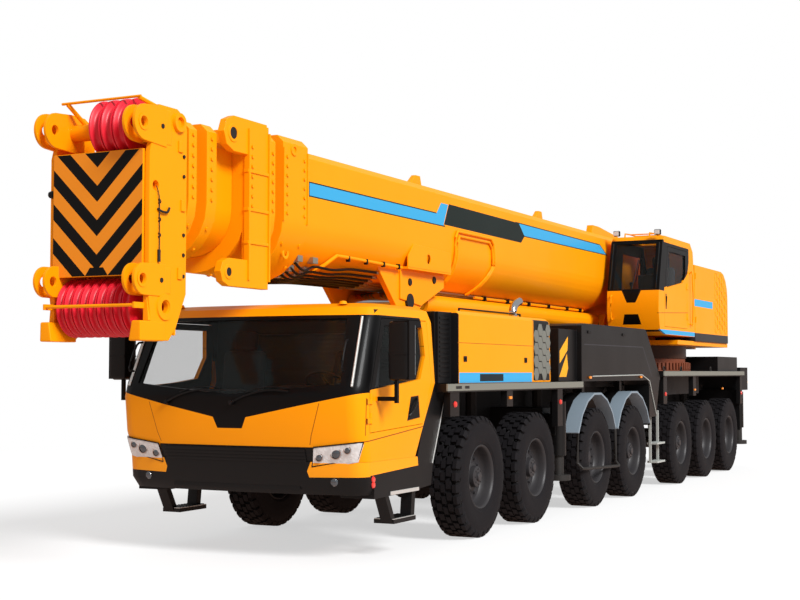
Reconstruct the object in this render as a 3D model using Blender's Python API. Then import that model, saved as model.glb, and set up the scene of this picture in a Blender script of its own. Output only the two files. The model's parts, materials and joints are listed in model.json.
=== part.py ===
"""Seven-axle mobile crane in travel order: carrier, superstructure and telescopic boom.

Frame: metres, +Z up, the crane faces -Y, +X is its left side (the operator's side).
The origin is on the ground under the middle of the crane's length and width.
"""

import math

import bmesh
import bpy
from mathutils import Matrix, Vector

# ---------------------------------------------------------------- driving dimensions
HALF_WIDTH = 1.5              # half the width over decks and floats
HALF_LENGTH = 9.15            # boom head lugs to tow coupling
FRONT_AXLE_Y = -4.2           # place of the first axle
AXLE_GAPS = (1.65, 2.25, 1.65, 2.60, 1.65, 1.65)
STEER_AXLES = (1, 2, 6, 7)
DRIVEN_AXLES = (1, 2, 4, 5)

RUNNING_GAP = 0.0005          # at bearings, pins and rods
SEAT_GAP = 0.0003             # between pieces that touch
MOVING_GAP = 0.006            # round pieces that move

TYRE_RADIUS = 0.665
TYRE_WIDTH = 0.385
TYRE_OUTER_X = 1.47
RIM_RADIUS = 0.345
WHEEL_SIDES = 20
HUB_CAP_RADIUS = 0.16
KINGPIN_X = 1.0
AXLE_BEAM_RADIUS = 0.09
STRUT_X = 0.60
MUDGUARD_CLEARANCE = 0.175    # from tread to mudguard

GIRDER_HALF_WIDTH = 0.46
GIRDER_BOTTOM = 0.90
FRONT_DECK_BOTTOM = 1.58
FRONT_DECK_TOP = 1.67
REAR_DECK_BOTTOM = 1.72
REAR_DECK_TOP = 1.81
DECK_HALF_WIDTH = 1.48

CAB_HALF_WIDTH = 1.375
CAB_FLOOR = 0.95
CAB_ROOF = 2.455
CAB_WALL = 0.06
CAB_DOOR_HINGE = (1.372, -2.45)   # X and station of the hinge axis
CAB_HINGE_HEIGHTS = (1.36, 1.54)
HINGE_RADIUS = 0.02
HINGE_LUG = 0.05

HOUSING_HALF_WIDTH = 1.45
HOUSING_TOP = 2.44
HOUSING_WALL = 0.03

BEAM_WIDTH = 0.21
BEAM_HEIGHT = 0.26
BEAM_BOTTOM = 1.00
BEAM_INNER_X = 1.15
JACK_X = 1.34
JACK_RADIUS = 0.10
JACK_ROD_RADIUS = 0.07
FLOAT_RADIUS = 0.155

SLEW_STATION = 9.2
SLEW_RING_RADIUS = 1.30
PEDESTAL_HALF_LENGTH = 1.25
PEDESTAL_BOTTOM = 1.42
SLEW_RING_TOP = 2.02
PLATFORM_BOTTOM = 2.22
PLATFORM_TOP = 2.38

BOOM_HALF_WIDTH = 0.52
BOOM_TOP = 3.97
BOOM_ROUND_Z = 3.265          # centre of the round underside
BOOM_WALL = 0.015
SECTION_STEP = 0.034          # each section is this much smaller all round
BOOM_TAIL_STATION = 10.6
PIVOT_STATION = 10.2
PIVOT_Z = 3.20
PIVOT_BOSS_RADIUS = 0.18
CHEEK_INNER_X = 0.58

CYLINDER_X = 0.20
CYLINDER_Z = 2.60
CYLINDER_RADIUS = 0.13
CYLINDER_ROD_RADIUS = 0.09
TRUNNION_STATION = 7.55
ROD_EYE_STATION = 0.30

WINCH_STATION = 11.45
WINCH_Z = 2.75
WINCH_HALF_LENGTH = 0.50

SHEAVE_RADIUS = 0.25
SHEAVE_SIDES = 16
UPPER_SHAFT = (-4.56, 3.84)   # station and height
LOWER_SHAFT = (-4.55, 2.33)
HEAD_CHEEK_INNER_X = 0.46
HEAD_CHEEK_OUTER_X = 0.52

COLOURS = {
    "yellow_paint": ((0.95, 0.42, 0.01), 0.35, 0.0),
    "dark_grey_paint": ((0.035, 0.035, 0.037), 0.5, 0.0),
    "frame_paint": ((0.06, 0.06, 0.065), 0.55, 0.0),
    "black_plastic": ((0.012, 0.012, 0.012), 0.45, 0.0),
    "tyre_rubber": ((0.014, 0.012, 0.015), 0.85, 0.0),
    "red_nylon": ((0.75, 0.02, 0.04), 0.4, 0.0),
    "dark_glass": ((0.02, 0.022, 0.022), 0.08, 0.0),
    "cast_steel": ((0.08, 0.08, 0.08), 0.6, 0.6),
    "polished_rod": ((0.7, 0.7, 0.7), 0.15, 1.0),
}

HUB_Z = TYRE_RADIUS * math.cos(math.pi / WHEEL_SIDES)
WHEEL_X = TYRE_OUTER_X - TYRE_WIDTH / 2
MATERIALS = {}
ORIGINS = {}


def station(distance):
    """Y of a place given as its distance behind the first axle."""
    return distance + FRONT_AXLE_Y


def axle_stations():
    """Distances of the axles behind the first one."""
    stations = [0.0]
    for gap in AXLE_GAPS:
        stations.append(stations[-1] + gap)
    return stations


# ---------------------------------------------------------------- shapes
def clear_scene():
    """Remove every object of the scene."""
    for old in list(bpy.data.objects):
        bpy.data.objects.remove(old, do_unlink=True)


def box(low, high):
    """A box between two corners."""
    solid = bmesh.new()
    bmesh.ops.create_cube(solid, size=1.0)
    size = [high[i] - low[i] for i in range(3)]
    middle = [(high[i] + low[i]) / 2 for i in range(3)]
    bmesh.ops.scale(solid, vec=size, verts=solid.verts)
    bmesh.ops.translate(solid, vec=middle, verts=solid.verts)
    return solid


def side_box(inner_x, outer_x, front, rear, low, high):
    """A box given by its stations, on the side of the signs of its X values."""
    near, far = sorted((inner_x, outer_x))
    return box((near, station(front), low), (far, station(rear), high))


AXIS_FRAMES = {"X": (1, 2, 0), "Y": (0, 2, 1), "Z": (0, 1, 2)}


def prism(outline, axis, low, high):
    """An outline in the plane across an axis, drawn out along it from low to high."""
    first, second, along = AXIS_FRAMES[axis]
    solid = bmesh.new()
    corners = []
    for point in outline:
        place = [0.0, 0.0, 0.0]
        place[first], place[second], place[along] = point[0], point[1], low
        corners.append(solid.verts.new(place))
    face = solid.faces.new(corners)
    grown = bmesh.ops.extrude_face_region(solid, geom=[face])
    moved = [item for item in grown["geom"] if isinstance(item, bmesh.types.BMVert)]
    shift = [0.0, 0.0, 0.0]
    shift[along] = high - low
    bmesh.ops.translate(solid, vec=shift, verts=moved)
    bmesh.ops.recalc_face_normals(solid, faces=solid.faces)
    return solid


def side_prism(outline, low_x, high_x):
    """A prism across the crane whose outline is given as (station, z)."""
    return prism([(station(s), z) for s, z in outline], "X", low_x, high_x)


def circle(centre, radius, sides, turn=0.5):
    """Points of a regular outline, with a flat side lowest when turn is 0.5."""
    points = []
    for index in range(sides):
        angle = 2 * math.pi * (index + turn) / sides - math.pi / 2
        points.append((centre[0] + radius * math.cos(angle), centre[1] + radius * math.sin(angle)))
    return points


def cylinder(axis, centre, radius, low, high, sides=16):
    """A round bar along an axis; centre is in the plane across it."""
    return prism(circle(centre, radius, sides), axis, low, high)


def cross_bar(distance, z, radius, low_x, high_x, sides=16):
    """A round bar across the crane at a station and a height."""
    return cylinder("X", (station(distance), z), radius, low_x, high_x, sides)


def turned_across(profile, centre, sides):
    """Turn (radius, x) points round an axis along X through centre (y, z)."""
    solid = bmesh.new()
    rings = []
    for radius, x in profile:
        if radius == 0:
            rings.append([solid.verts.new((x, centre[0], centre[1]))])
            continue
        ring = [solid.verts.new((x, y, z)) for y, z in circle(centre, radius, sides)]
        rings.append(ring)
    for first, second in zip(rings, rings[1:]):
        bridge(solid, first, second)
    bmesh.ops.recalc_face_normals(solid, faces=solid.faces)
    return solid


def bridge(solid, first, second):
    """Faces between two rings, either of which may be a single pole."""
    count = max(len(first), len(second))
    for index in range(count):
        after = (index + 1) % count
        corners = [first[index % len(first)], first[after % len(first)],
                   second[after % len(second)], second[index % len(second)]]
        distinct = []
        for corner in corners:
            if corner not in distinct:
                distinct.append(corner)
        solid.faces.new(distinct)


def loft(rings):
    """A solid through rings of points, closed at both ends."""
    solid = bmesh.new()
    grown = [[solid.verts.new(point) for point in ring] for ring in rings]
    for first, second in zip(grown, grown[1:]):
        bridge(solid, first, second)
    solid.faces.new(grown[0])
    solid.faces.new(grown[-1])
    bmesh.ops.recalc_face_normals(solid, faces=solid.faces)
    return solid


def mirrored(solid):
    """A copy of a solid on the other side of the crane."""
    twin = solid.copy()
    bmesh.ops.scale(twin, vec=(-1, 1, 1), verts=twin.verts)
    bmesh.ops.reverse_faces(twin, faces=twin.faces)
    return twin


def both_sides(solid):
    """The solid and its mirror image."""
    return [solid, mirrored(solid)]


def scratch_object(solid, name):
    """A throw-away object for a boolean."""
    mesh = bpy.data.meshes.new(name)
    solid.to_mesh(mesh)
    holder = bpy.data.objects.new(name, mesh)
    bpy.context.scene.collection.objects.link(holder)
    return holder


def boolean(first, second, operation):
    """The union, difference or intersection of two solids."""
    target = scratch_object(first, "target")
    tool = scratch_object(second, "tool")
    modifier = target.modifiers.new("boolean", "BOOLEAN")
    modifier.operation = operation
    modifier.solver = "EXACT"
    modifier.object = tool
    graph = bpy.context.evaluated_depsgraph_get()
    result = bmesh.new()
    result.from_mesh(target.evaluated_get(graph).to_mesh())
    for holder in (target, tool):
        mesh = holder.data
        bpy.data.objects.remove(holder, do_unlink=True)
        bpy.data.meshes.remove(mesh)
    return result


def join(*solids):
    """One body from solids that overlap."""
    result = solids[0]
    for other in solids[1:]:
        result = boolean(result, other, "UNION")
    return result


def cut(solid, *tools):
    """A solid with other solids taken out of it."""
    for tool in tools:
        solid = boolean(solid, tool, "DIFFERENCE")
    return solid


def material(name):
    """The named finish, made on first use."""
    if name not in MATERIALS:
        colour, roughness, metallic = COLOURS[name]
        finish = bpy.data.materials.new(name)
        finish.use_nodes = True
        shader = finish.node_tree.nodes["Principled BSDF"]
        shader.inputs["Base Color"].default_value = (*colour, 1.0)
        shader.inputs["Roughness"].default_value = roughness
        shader.inputs["Metallic"].default_value = metallic
        MATERIALS[name] = finish
    return MATERIALS[name]


def part(name, solid, finish, origin=(0, 0, 0), parent=None):
    """Make a named object of a solid, with its origin on its joint."""
    bmesh.ops.remove_doubles(solid, verts=solid.verts, dist=1e-5)
    bmesh.ops.dissolve_degenerate(solid, edges=solid.edges, dist=1e-6)
    bmesh.ops.translate(solid, vec=-Vector(origin), verts=solid.verts)
    mesh = bpy.data.meshes.new(name)
    solid.to_mesh(mesh)
    solid.free()
    mesh.shade_smooth()
    mesh.set_sharp_from_angle(angle=math.radians(30))
    mesh.materials.append(material(finish))
    piece = bpy.data.objects.new(name, mesh)
    bpy.context.scene.collection.objects.link(piece)
    ORIGINS[name] = Vector(origin)
    if parent:
        piece.parent = bpy.data.objects[parent]
        piece.location = ORIGINS[name] - ORIGINS[parent]
    else:
        piece.location = ORIGINS[name]
    return piece


# ---------------------------------------------------------------- carrier
def chassis_frame():
    """Box girder with its nose, slew pedestal, outrigger boxes and tail."""
    girder = side_box(-GIRDER_HALF_WIDTH, GIRDER_HALF_WIDTH, -0.95, 12.6,
                      GIRDER_BOTTOM, FRONT_DECK_BOTTOM - SEAT_GAP)
    nose = side_box(-GIRDER_HALF_WIDTH, GIRDER_HALF_WIDTH, -2.25, -0.80, 0.62,
                    CAB_FLOOR - SEAT_GAP)
    rear_raise = side_box(-GIRDER_HALF_WIDTH, GIRDER_HALF_WIDTH, 7.1, 12.6, 1.40,
                          REAR_DECK_BOTTOM - SEAT_GAP)
    pedestal = side_box(-1.15, 1.15, SLEW_STATION - PEDESTAL_HALF_LENGTH,
                        SLEW_STATION + PEDESTAL_HALF_LENGTH, PEDESTAL_BOTTOM,
                        REAR_DECK_BOTTOM - SEAT_GAP)
    tail = side_box(-1.42, 1.42, 12.52, 13.12, 1.45, 1.88)
    hitch = side_box(-0.12, 0.12, 13.0, 2 * HALF_LENGTH - 4.95, 0.98, 1.18)
    body = join(girder, nose, rear_raise, pedestal)
    for front, rear in OUTRIGGER_BOXES:
        body = join(body, side_box(-1.18, 1.18, front, rear, 0.94, 1.34))
    body = join(body, tail, hitch)
    for _, distance, _, _ in OUTRIGGERS:
        body = cut(body, beam_passage(distance))
    return body


OUTRIGGER_BOXES = ((2.56, 3.10), (12.48, 13.08))
OUTRIGGERS = (
    ("front_left", 2.695, 1, 0),
    ("front_right", 2.965, -1, 0),
    ("rear_left", 12.63, 1, 1),
    ("rear_right", 12.93, -1, 1),
)


def beam_passage(distance):
    """The tube through a chassis box in which one outrigger beam slides."""
    half = BEAM_WIDTH / 2 + MOVING_GAP
    return side_box(-1.3, 1.3, distance - half, distance + half,
                    BEAM_BOTTOM - RUNNING_GAP, BEAM_BOTTOM + BEAM_HEIGHT + MOVING_GAP)


def outrigger_beam(distance, side):
    """Sliding beam with the jack's cylinder at its outer end."""
    half = BEAM_WIDTH / 2
    beam = side_box(-side * BEAM_INNER_X, side * JACK_X, distance - half, distance + half,
                    BEAM_BOTTOM, BEAM_BOTTOM + BEAM_HEIGHT)
    centre = (side * JACK_X, station(distance))
    tube = cylinder("Z", centre, JACK_RADIUS, 0.74, 1.42)
    bore = cylinder("Z", centre, JACK_ROD_RADIUS + RUNNING_GAP, 0.70, 1.36)
    return cut(join(beam, tube), bore)


def outrigger_jack(distance, side):
    """Jack rod with its round float."""
    centre = (side * JACK_X, station(distance))
    rod = cylinder("Z", centre, JACK_ROD_RADIUS, 0.48, 1.35)
    foot = cylinder("Z", centre, FLOAT_RADIUS, 0.43, 0.50)
    return join(rod, foot)


def carrier_deck():
    """Deck plates over the girder with the hangers along their edges."""
    front = side_box(-DECK_HALF_WIDTH, DECK_HALF_WIDTH, -0.95, 3.28,
                     FRONT_DECK_BOTTOM, FRONT_DECK_TOP)
    middle = side_box(-1.0, 1.0, 3.2, 7.08, FRONT_DECK_BOTTOM, FRONT_DECK_TOP)
    riser = side_box(-1.0, 1.0, 7.02, 7.09, FRONT_DECK_BOTTOM, REAR_DECK_TOP)
    rear = side_box(-HALF_WIDTH, HALF_WIDTH, 7.02, 12.5, REAR_DECK_BOTTOM, REAR_DECK_TOP)
    locker = side_box(-1.42, 1.42, 10.75, 12.25, 1.75, 2.07)
    deck = join(front, middle, riser, rear, locker)
    hangers = (
        (-0.85, -0.62, 1.33, FRONT_DECK_BOTTOM), (0.70, 0.88, 1.40, FRONT_DECK_BOTTOM),
        (2.36, 2.54, 1.12, FRONT_DECK_BOTTOM), (7.10, 7.30, 1.30, REAR_DECK_BOTTOM),
        (8.88, 9.06, 1.40, REAR_DECK_BOTTOM), (12.30, 12.46, 1.20, REAR_DECK_BOTTOM),
    )
    for front_s, rear_s, low, high in hangers:
        hanger = side_box(1.38, 1.46, front_s, rear_s, low, high + 0.02)
        deck = join(deck, *both_sides(hanger))
    return deck


def strut_top(distance):
    """Height of what a suspension strut carries at a station."""
    if abs(distance - SLEW_STATION) < PEDESTAL_HALF_LENGTH:
        return PEDESTAL_BOTTOM
    return FRONT_DECK_BOTTOM if distance < 7.05 else REAR_DECK_BOTTOM


def axle_group(numbers):
    """Axle beams of one suspension group, tied by their longitudinal links."""
    stations = axle_stations()
    pieces = []
    for number in numbers:
        distance = stations[number - 1]
        steered = number in STEER_AXLES
        reach = KINGPIN_X if steered else WHEEL_X - 0.06 - RUNNING_GAP
        pieces.append(cross_bar(distance, HUB_Z, AXLE_BEAM_RADIUS, -reach, reach, 12))
        if number in DRIVEN_AXLES:
            pieces.append(cross_bar(distance, HUB_Z, 0.21, -0.2, 0.2, 16))
        for side in (-1, 1):
            pieces.append(cylinder("Z", (side * STRUT_X, station(distance)), 0.07,
                                   HUB_Z, strut_top(distance) - SEAT_GAP, 8))
            if steered:
                half = KNUCKLE_HALF_GAP - RUNNING_GAP
                pieces.append(cylinder("Z", (side * KINGPIN_X, station(distance)), 0.065,
                                       HUB_Z - half, HUB_Z + half, 12))
    first, last = stations[numbers[0] - 1], stations[numbers[-1] - 1]
    for side in (-1, 1):
        pieces.append(side_box(side * 0.26, side * 0.34, first - 0.05, last + 0.05,
                               HUB_Z - 0.04, HUB_Z + 0.04))
    body = pieces[0]
    for piece in pieces[len(pieces) - 2:] + pieces[1:-2]:
        body = join(body, piece)
    return body


KNUCKLE_HALF_GAP = 0.165
SPINDLE_END_X = WHEEL_X - 0.06 - RUNNING_GAP


def knuckle(distance, side):
    """Steering knuckle: two ears on the kingpin, a plate and the spindle."""
    low_ear = side_box(0.93, 1.14, distance - 0.08, distance + 0.08,
                       HUB_Z - KNUCKLE_HALF_GAP - 0.05, HUB_Z - KNUCKLE_HALF_GAP)
    high_ear = side_box(0.93, 1.14, distance - 0.08, distance + 0.08,
                        HUB_Z + KNUCKLE_HALF_GAP, HUB_Z + KNUCKLE_HALF_GAP + 0.05)
    plate = side_box(1.085, 1.145, distance - 0.07, distance + 0.07,
                     HUB_Z - KNUCKLE_HALF_GAP - 0.04, HUB_Z + KNUCKLE_HALF_GAP + 0.04)
    spindle = cross_bar(distance, HUB_Z, 0.10, 1.12, SPINDLE_END_X, 12)
    body = join(plate, low_ear, high_ear, spindle)
    return body if side > 0 else mirrored(body)


def wheel(distance, side, driven):
    """Tyre, rim and hub of one wheel as a turned body."""
    half = TYRE_WIDTH / 2
    cap = 0.155 if driven else 0.07
    profile = (
        (0, cap), (HUB_CAP_RADIUS, cap), (HUB_CAP_RADIUS + 0.03, 0.02), (RIM_RADIUS - 0.02, 0.02),
        (RIM_RADIUS + 0.015, 0.165), (0.54, half), (TYRE_RADIUS, 0.14), (TYRE_RADIUS, -0.14),
        (0.54, -half), (RIM_RADIUS + 0.015, -0.165), (RIM_RADIUS - 0.02, -0.06), (0, -0.06),
    )
    placed = [(radius, WHEEL_X + x) for radius, x in profile]
    body = turned_across(placed, (station(distance), HUB_Z), WHEEL_SIDES)
    return body if side > 0 else mirrored(body)


def plan_ring(z, front, rear, half_width, crown=0.10, front_corner=0.16, rear_corner=0.06):
    """Outline of a cab seen from above, with a crowned front, at height z."""
    half = [(0.0, front), (half_width * 0.55, front + crown * 0.25)]
    corner_x = half_width - front_corner
    corner_y = front + crown + front_corner
    for step in range(4):
        angle = -math.pi / 2 + step * math.pi / 6
        half.append((corner_x + front_corner * math.cos(angle),
                     corner_y + front_corner * math.sin(angle)))
    for step in range(3):
        angle = step * math.pi / 4
        half.append((half_width - rear_corner + rear_corner * math.cos(angle),
                     rear - rear_corner + rear_corner * math.sin(angle)))
    right = half
    left = [(-x, y) for x, y in reversed(half[1:])]
    return [(x, y, z) for x, y in right + left]


CAB_LEVELS = (
    (0.95, -2.66, -1.42, 1.36), (1.20, -2.74, -1.30, 1.375), (1.55, -2.78, -1.07, 1.375),
    (1.68, -2.74, -0.99, 1.375), (2.30, -2.46, -1.00, 1.335), (2.41, -2.38, -1.03, 1.30),
    (2.455, -2.24, -1.12, 1.20),
)


def cab_solid(inset):
    """The carrier cab's outer form, or its inner form inset by a wall."""
    rings = []
    for index, (z, front, rear, half_width) in enumerate(CAB_LEVELS):
        height = z
        if inset:
            height += inset if index == 0 else 0
            height -= inset if index == len(CAB_LEVELS) - 1 else 0
            if CAB_ROOF - inset < height:
                height = CAB_ROOF - inset - 0.01
            if index == len(CAB_LEVELS) - 1:
                height = CAB_ROOF - inset
        rings.append(plan_ring(height, station(front) + inset, station(rear) - inset,
                               half_width - inset, front_corner=0.16 - inset / 2,
                               rear_corner=0.06 - inset / 2))
    return loft(rings)


CAB_DOOR_OUTLINE = ((-2.47, 1.22), (-2.47, 1.60), (-2.16, 2.31), (-1.16, 2.31), (-1.12, 1.70),
                    (-1.33, 1.27))
CAB_WINDOW_OUTLINE = ((-2.37, 1.64), (-2.10, 2.24), (-1.27, 2.24), (-1.24, 1.95), (-1.38, 1.72),
                      (-1.75, 1.68))
SCREEN_OUTLINE = ((-1.16, 1.68), (0.0, 1.58), (1.16, 1.68), (1.08, 2.30), (-1.08, 2.30))


def hinge_lugs(x, distance, z, way):
    """Fixed lug, the notch round it and the moving lug of a hinge on an upright axis.

    The fixed lug reaches towards way, +1 for backwards, and carries the moving one.
    """
    centre = (x, station(distance))
    low = z - HINGE_LUG
    pad = side_box(x - 0.045, x + 0.012, *sorted((distance, distance + way * 0.08)),
                   low, z - RUNNING_GAP)
    fixed = join(cylinder("Z", centre, HINGE_RADIUS, low, z - RUNNING_GAP, 12), pad)
    notch = side_box(x - 0.2, x + 0.2, distance - 0.03, distance + 0.03, low - MOVING_GAP, z)
    moving = cylinder("Z", centre, HINGE_RADIUS, z, z + HINGE_LUG, 12)
    return fixed, notch, moving


def shrunk(outline, amount):
    """An outline moved in towards its middle on every side."""
    count = len(outline)
    area = sum(outline[i][0] * outline[(i + 1) % count][1] - outline[(i + 1) % count][0] * outline[i][1]
               for i in range(count))
    turn = 1 if area > 0 else -1
    points = []
    for index in range(count):
        before = Vector(outline[index - 1])
        here = Vector(outline[index])
        after = Vector(outline[(index + 1) % count])
        into = (here - before).normalized()
        out = (after - here).normalized()
        first = Vector((-into.y, into.x)) * turn
        second = Vector((-out.y, out.x)) * turn
        blend = (first + second) / (1 + first.dot(second))
        points.append(tuple(here + blend * amount))
    return points


def carrier_cab():
    """Hollow cab shell, open at both doors and at the windscreen."""
    shell = cut(cab_solid(0), cab_solid(CAB_WALL))
    rear_window = prism(((-0.9, 1.8), (0.9, 1.8), (0.9, 2.2), (-0.9, 2.2)), "Y",
                        station(-1.3), station(-0.8))
    shell = cut(shell, side_prism(CAB_DOOR_OUTLINE, 0.7, 1.6), side_prism(CAB_DOOR_OUTLINE, -1.6, -0.7),
                prism(SCREEN_OUTLINE, "Y", station(-3.0), station(-2.05)), rear_window)
    for height in CAB_HINGE_HEIGHTS:
        fixed, _, _ = hinge_lugs(*CAB_DOOR_HINGE, height, -1)
        shell = join(shell, *both_sides(fixed))
    return shell


def cab_door(side):
    """Door leaf with its window cut and the mirror on its arms."""
    shell = cut(cab_solid(0), cab_solid(CAB_WALL))
    low_x, high_x = (0.7, 1.6)
    leaf = boolean(shell, side_prism(shrunk(CAB_DOOR_OUTLINE, MOVING_GAP), low_x, high_x), "INTERSECT")
    leaf = cut(leaf, side_prism(CAB_WINDOW_OUTLINE, low_x, high_x))
    for height in CAB_HINGE_HEIGHTS:
        _, notch, moving = hinge_lugs(*CAB_DOOR_HINGE, height, -1)
        leaf = join(cut(leaf, notch), moving)
    mirror = side_box(1.57, 1.74, -2.38, -2.26, 1.72, 2.27)
    upper_arm = side_box(1.28, 1.60, -2.33, -2.29, 2.20, 2.24)
    lower_arm = side_box(1.33, 1.60, -2.35, -2.31, 1.52, 1.56)
    post = side_box(1.57, 1.60, -2.35, -2.31, 1.50, 1.76)
    body = join(leaf, lower_arm, post, mirror)
    return body if side > 0 else mirrored(body)


def windscreen():
    """Curved windscreen pane in the cab's front opening."""
    shell = cut(cab_solid(0.012), cab_solid(0.03))
    return boolean(shell, prism(shrunk(SCREEN_OUTLINE, RUNNING_GAP), "Y", station(-3.0), station(-2.05)),
                   "INTERSECT")


def front_bumper():
    """Bumper across the front, its side skirts and the hanging steps."""
    top = CAB_FLOOR - SEAT_GAP
    rings = [plan_ring(0.64, station(-2.60), station(-2.28), 1.33),
             plan_ring(0.74, station(-2.66), station(-2.28), 1.36),
             plan_ring(top, station(-2.68), station(-2.28), 1.36)]
    body = loft(rings)
    skirt = side_prism(((-2.35, 0.60), (-2.35, top), (-1.42, top), (-1.36, 0.62)), 1.00, 1.36)
    front_leg = side_prism(((-2.12, 0.66), (-2.04, 0.66), (-1.86, 0.34), (-1.94, 0.34)), 1.22, 1.34)
    rear_leg = side_prism(((-1.50, 0.66), (-1.42, 0.66), (-1.46, 0.34), (-1.54, 0.34)), 1.22, 1.34)
    tread = side_box(1.14, 1.36, -1.94, -1.46, 0.33, 0.37)
    step = join(skirt, front_leg, rear_leg, tread)
    return join(body, step, mirrored(step))


def housing_ring(z, front, rear, half_width, corner):
    """Outline of an engine cover from above with rounded rear corners."""
    half = [(0.0, front), (half_width, front)]
    for step in range(4):
        angle = step * math.pi / 6
        half.append((half_width - corner + corner * math.cos(angle),
                     rear - corner + corner * math.sin(angle)))
    left = [(-x, y) for x, y in reversed(half[1:])]
    return [(x, y, z) for x, y in half + [(0.0, rear)] + left]


def engine_housing():
    """Hollow engine cover, open below, with the louvred intake in front."""
    low = FRONT_DECK_TOP + SEAT_GAP
    outer = loft([housing_ring(low, station(-0.62), station(2.40), HOUSING_HALF_WIDTH, 0.30),
                  housing_ring(HOUSING_TOP - 0.04, station(-0.62), station(2.36), HOUSING_HALF_WIDTH, 0.30),
                  housing_ring(HOUSING_TOP, station(-0.60), station(2.32), HOUSING_HALF_WIDTH - 0.04, 0.30)])
    wall = HOUSING_WALL
    inner = loft([housing_ring(low - 0.05, station(-0.62) + wall, station(2.40) - wall,
                               HOUSING_HALF_WIDTH - wall, 0.28),
                  housing_ring(HOUSING_TOP - wall - 0.01, station(-0.62) + wall, station(2.32) - wall,
                               HOUSING_HALF_WIDTH - wall - 0.03, 0.28)])
    intake = side_box(-1.36, 1.36, -0.93, -0.60, low, HOUSING_TOP - 0.02)
    return join(cut(outer, inner), intake)


def engine_block():
    """The engine as a plain block on the deck."""
    return side_box(-0.45, 0.45, -0.30, 1.60, FRONT_DECK_TOP + SEAT_GAP, 2.30)


def mid_housing():
    """Tank and cooler cover over axles three and four, with both pairs of mudguards."""
    low = FRONT_DECK_TOP + SEAT_GAP
    cover = side_prism(((3.30, low), (3.30, 2.40), (3.36, 2.43), (6.16, 2.43), (6.24, 2.40),
                        (6.95, 1.72), (6.95, low)), -HOUSING_HALF_WIDTH, HOUSING_HALF_WIDTH)
    hazard_box = side_box(-1.38, 1.38, 2.62, 3.34, low, 2.34)
    body = join(cover, hazard_box)
    stations = axle_stations()
    for side in (-1, 1):
        skirt = side_prism(((6.36, 1.12), (6.36, 1.60), (6.20, 1.75), (6.95, 1.75), (6.72, 1.12)),
                           side * 1.06, side * HOUSING_HALF_WIDTH)
        body = join(body, skirt)
        for number in (3, 4):
            centre = stations[number - 1]
            body = join(body, mudguard(centre, side))
    return body


def mudguard(distance, side):
    """Half-round mudguard over one wheel with the post that carries it."""
    outline = []
    inner = TYRE_RADIUS + MUDGUARD_CLEARANCE
    for radius, steps in ((inner + 0.03, range(8)), (inner, reversed(range(8)))):
        for step in steps:
            angle = math.radians(24 + step * 132 / 7)
            outline.append((distance + radius * math.cos(angle), HUB_Z + radius * math.sin(angle)))
    arch = side_prism(outline, side * 1.08, side * TYRE_OUTER_X)
    post = side_box(side * 1.18, side * 1.26, distance - 0.05, distance + 0.05,
                    HUB_Z + inner - 0.005, 1.70)
    return join(arch, post)


# ---------------------------------------------------------------- superstructure
def slew_ring():
    """Toothed ring bolted to the carrier."""
    centre = (0.0, station(SLEW_STATION))
    ring = cylinder("Z", centre, SLEW_RING_RADIUS, REAR_DECK_TOP + SEAT_GAP, SLEW_RING_TOP, 40)
    hole = cylinder("Z", centre, 1.02, 1.7, 2.2, 32)
    return cut(ring, hole)


def superstructure_frame():
    """Turntable plate, boom cheeks, cylinder lugs and winch stands."""
    centre = (0.0, station(SLEW_STATION))
    ring = cylinder("Z", centre, 1.22, SLEW_RING_TOP + RUNNING_GAP, PLATFORM_BOTTOM + 0.02, 32)
    plate = side_box(-0.74, 0.74, 7.36, 11.85, PLATFORM_BOTTOM, PLATFORM_TOP)
    wings = side_box(-1.42, 1.42, 8.10, 11.50, PLATFORM_BOTTOM + 0.02, PLATFORM_TOP - 0.07)
    body = join(ring, plate, wings)
    cheek = side_prism(((9.15, 2.30), (9.85, 3.30), (10.02, 3.42), (10.38, 3.42), (10.52, 3.30),
                        (11.10, 2.30)), CHEEK_INNER_X, CHEEK_INNER_X + 0.08)
    lug = side_prism(((7.37, 2.30), (7.37, 2.62), (7.45, 2.72), (7.65, 2.72), (7.95, 2.30)),
                     0.33, 0.42)
    stand = side_prism(((11.16, 2.30), (11.30, 2.86), (11.60, 2.86), (11.74, 2.30)),
                       WINCH_HALF_LENGTH, WINCH_HALF_LENGTH + 0.06)
    for piece in (cheek, lug, stand):
        body = join(body, *both_sides(piece))
    return body


OPERATOR_INNER_X = 0.62
OPERATOR_OUTER_X = 1.45
OPERATOR_PROFILE = ((6.98, 2.45), (6.90, 2.75), (6.93, 3.05), (7.16, 3.84), (7.26, 3.93),
                    (8.80, 3.93), (8.98, 3.80), (9.06, 3.30), (9.06, PLATFORM_TOP + SEAT_GAP),
                    (7.30, PLATFORM_TOP + SEAT_GAP))
OPERATOR_DOOR = ((7.24, 2.50), (7.24, 2.98), (7.44, 3.78), (8.60, 3.78), (8.60, 2.50))
OPERATOR_WINDOW = ((7.38, 3.12), (7.52, 3.70), (8.50, 3.70), (8.50, 3.40), (8.34, 3.25))
OPERATOR_WALL = 0.05
OPERATOR_HINGE = (1.445, 8.58)
OPERATOR_HINGE_HEIGHTS = (2.70, 3.20)


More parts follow.
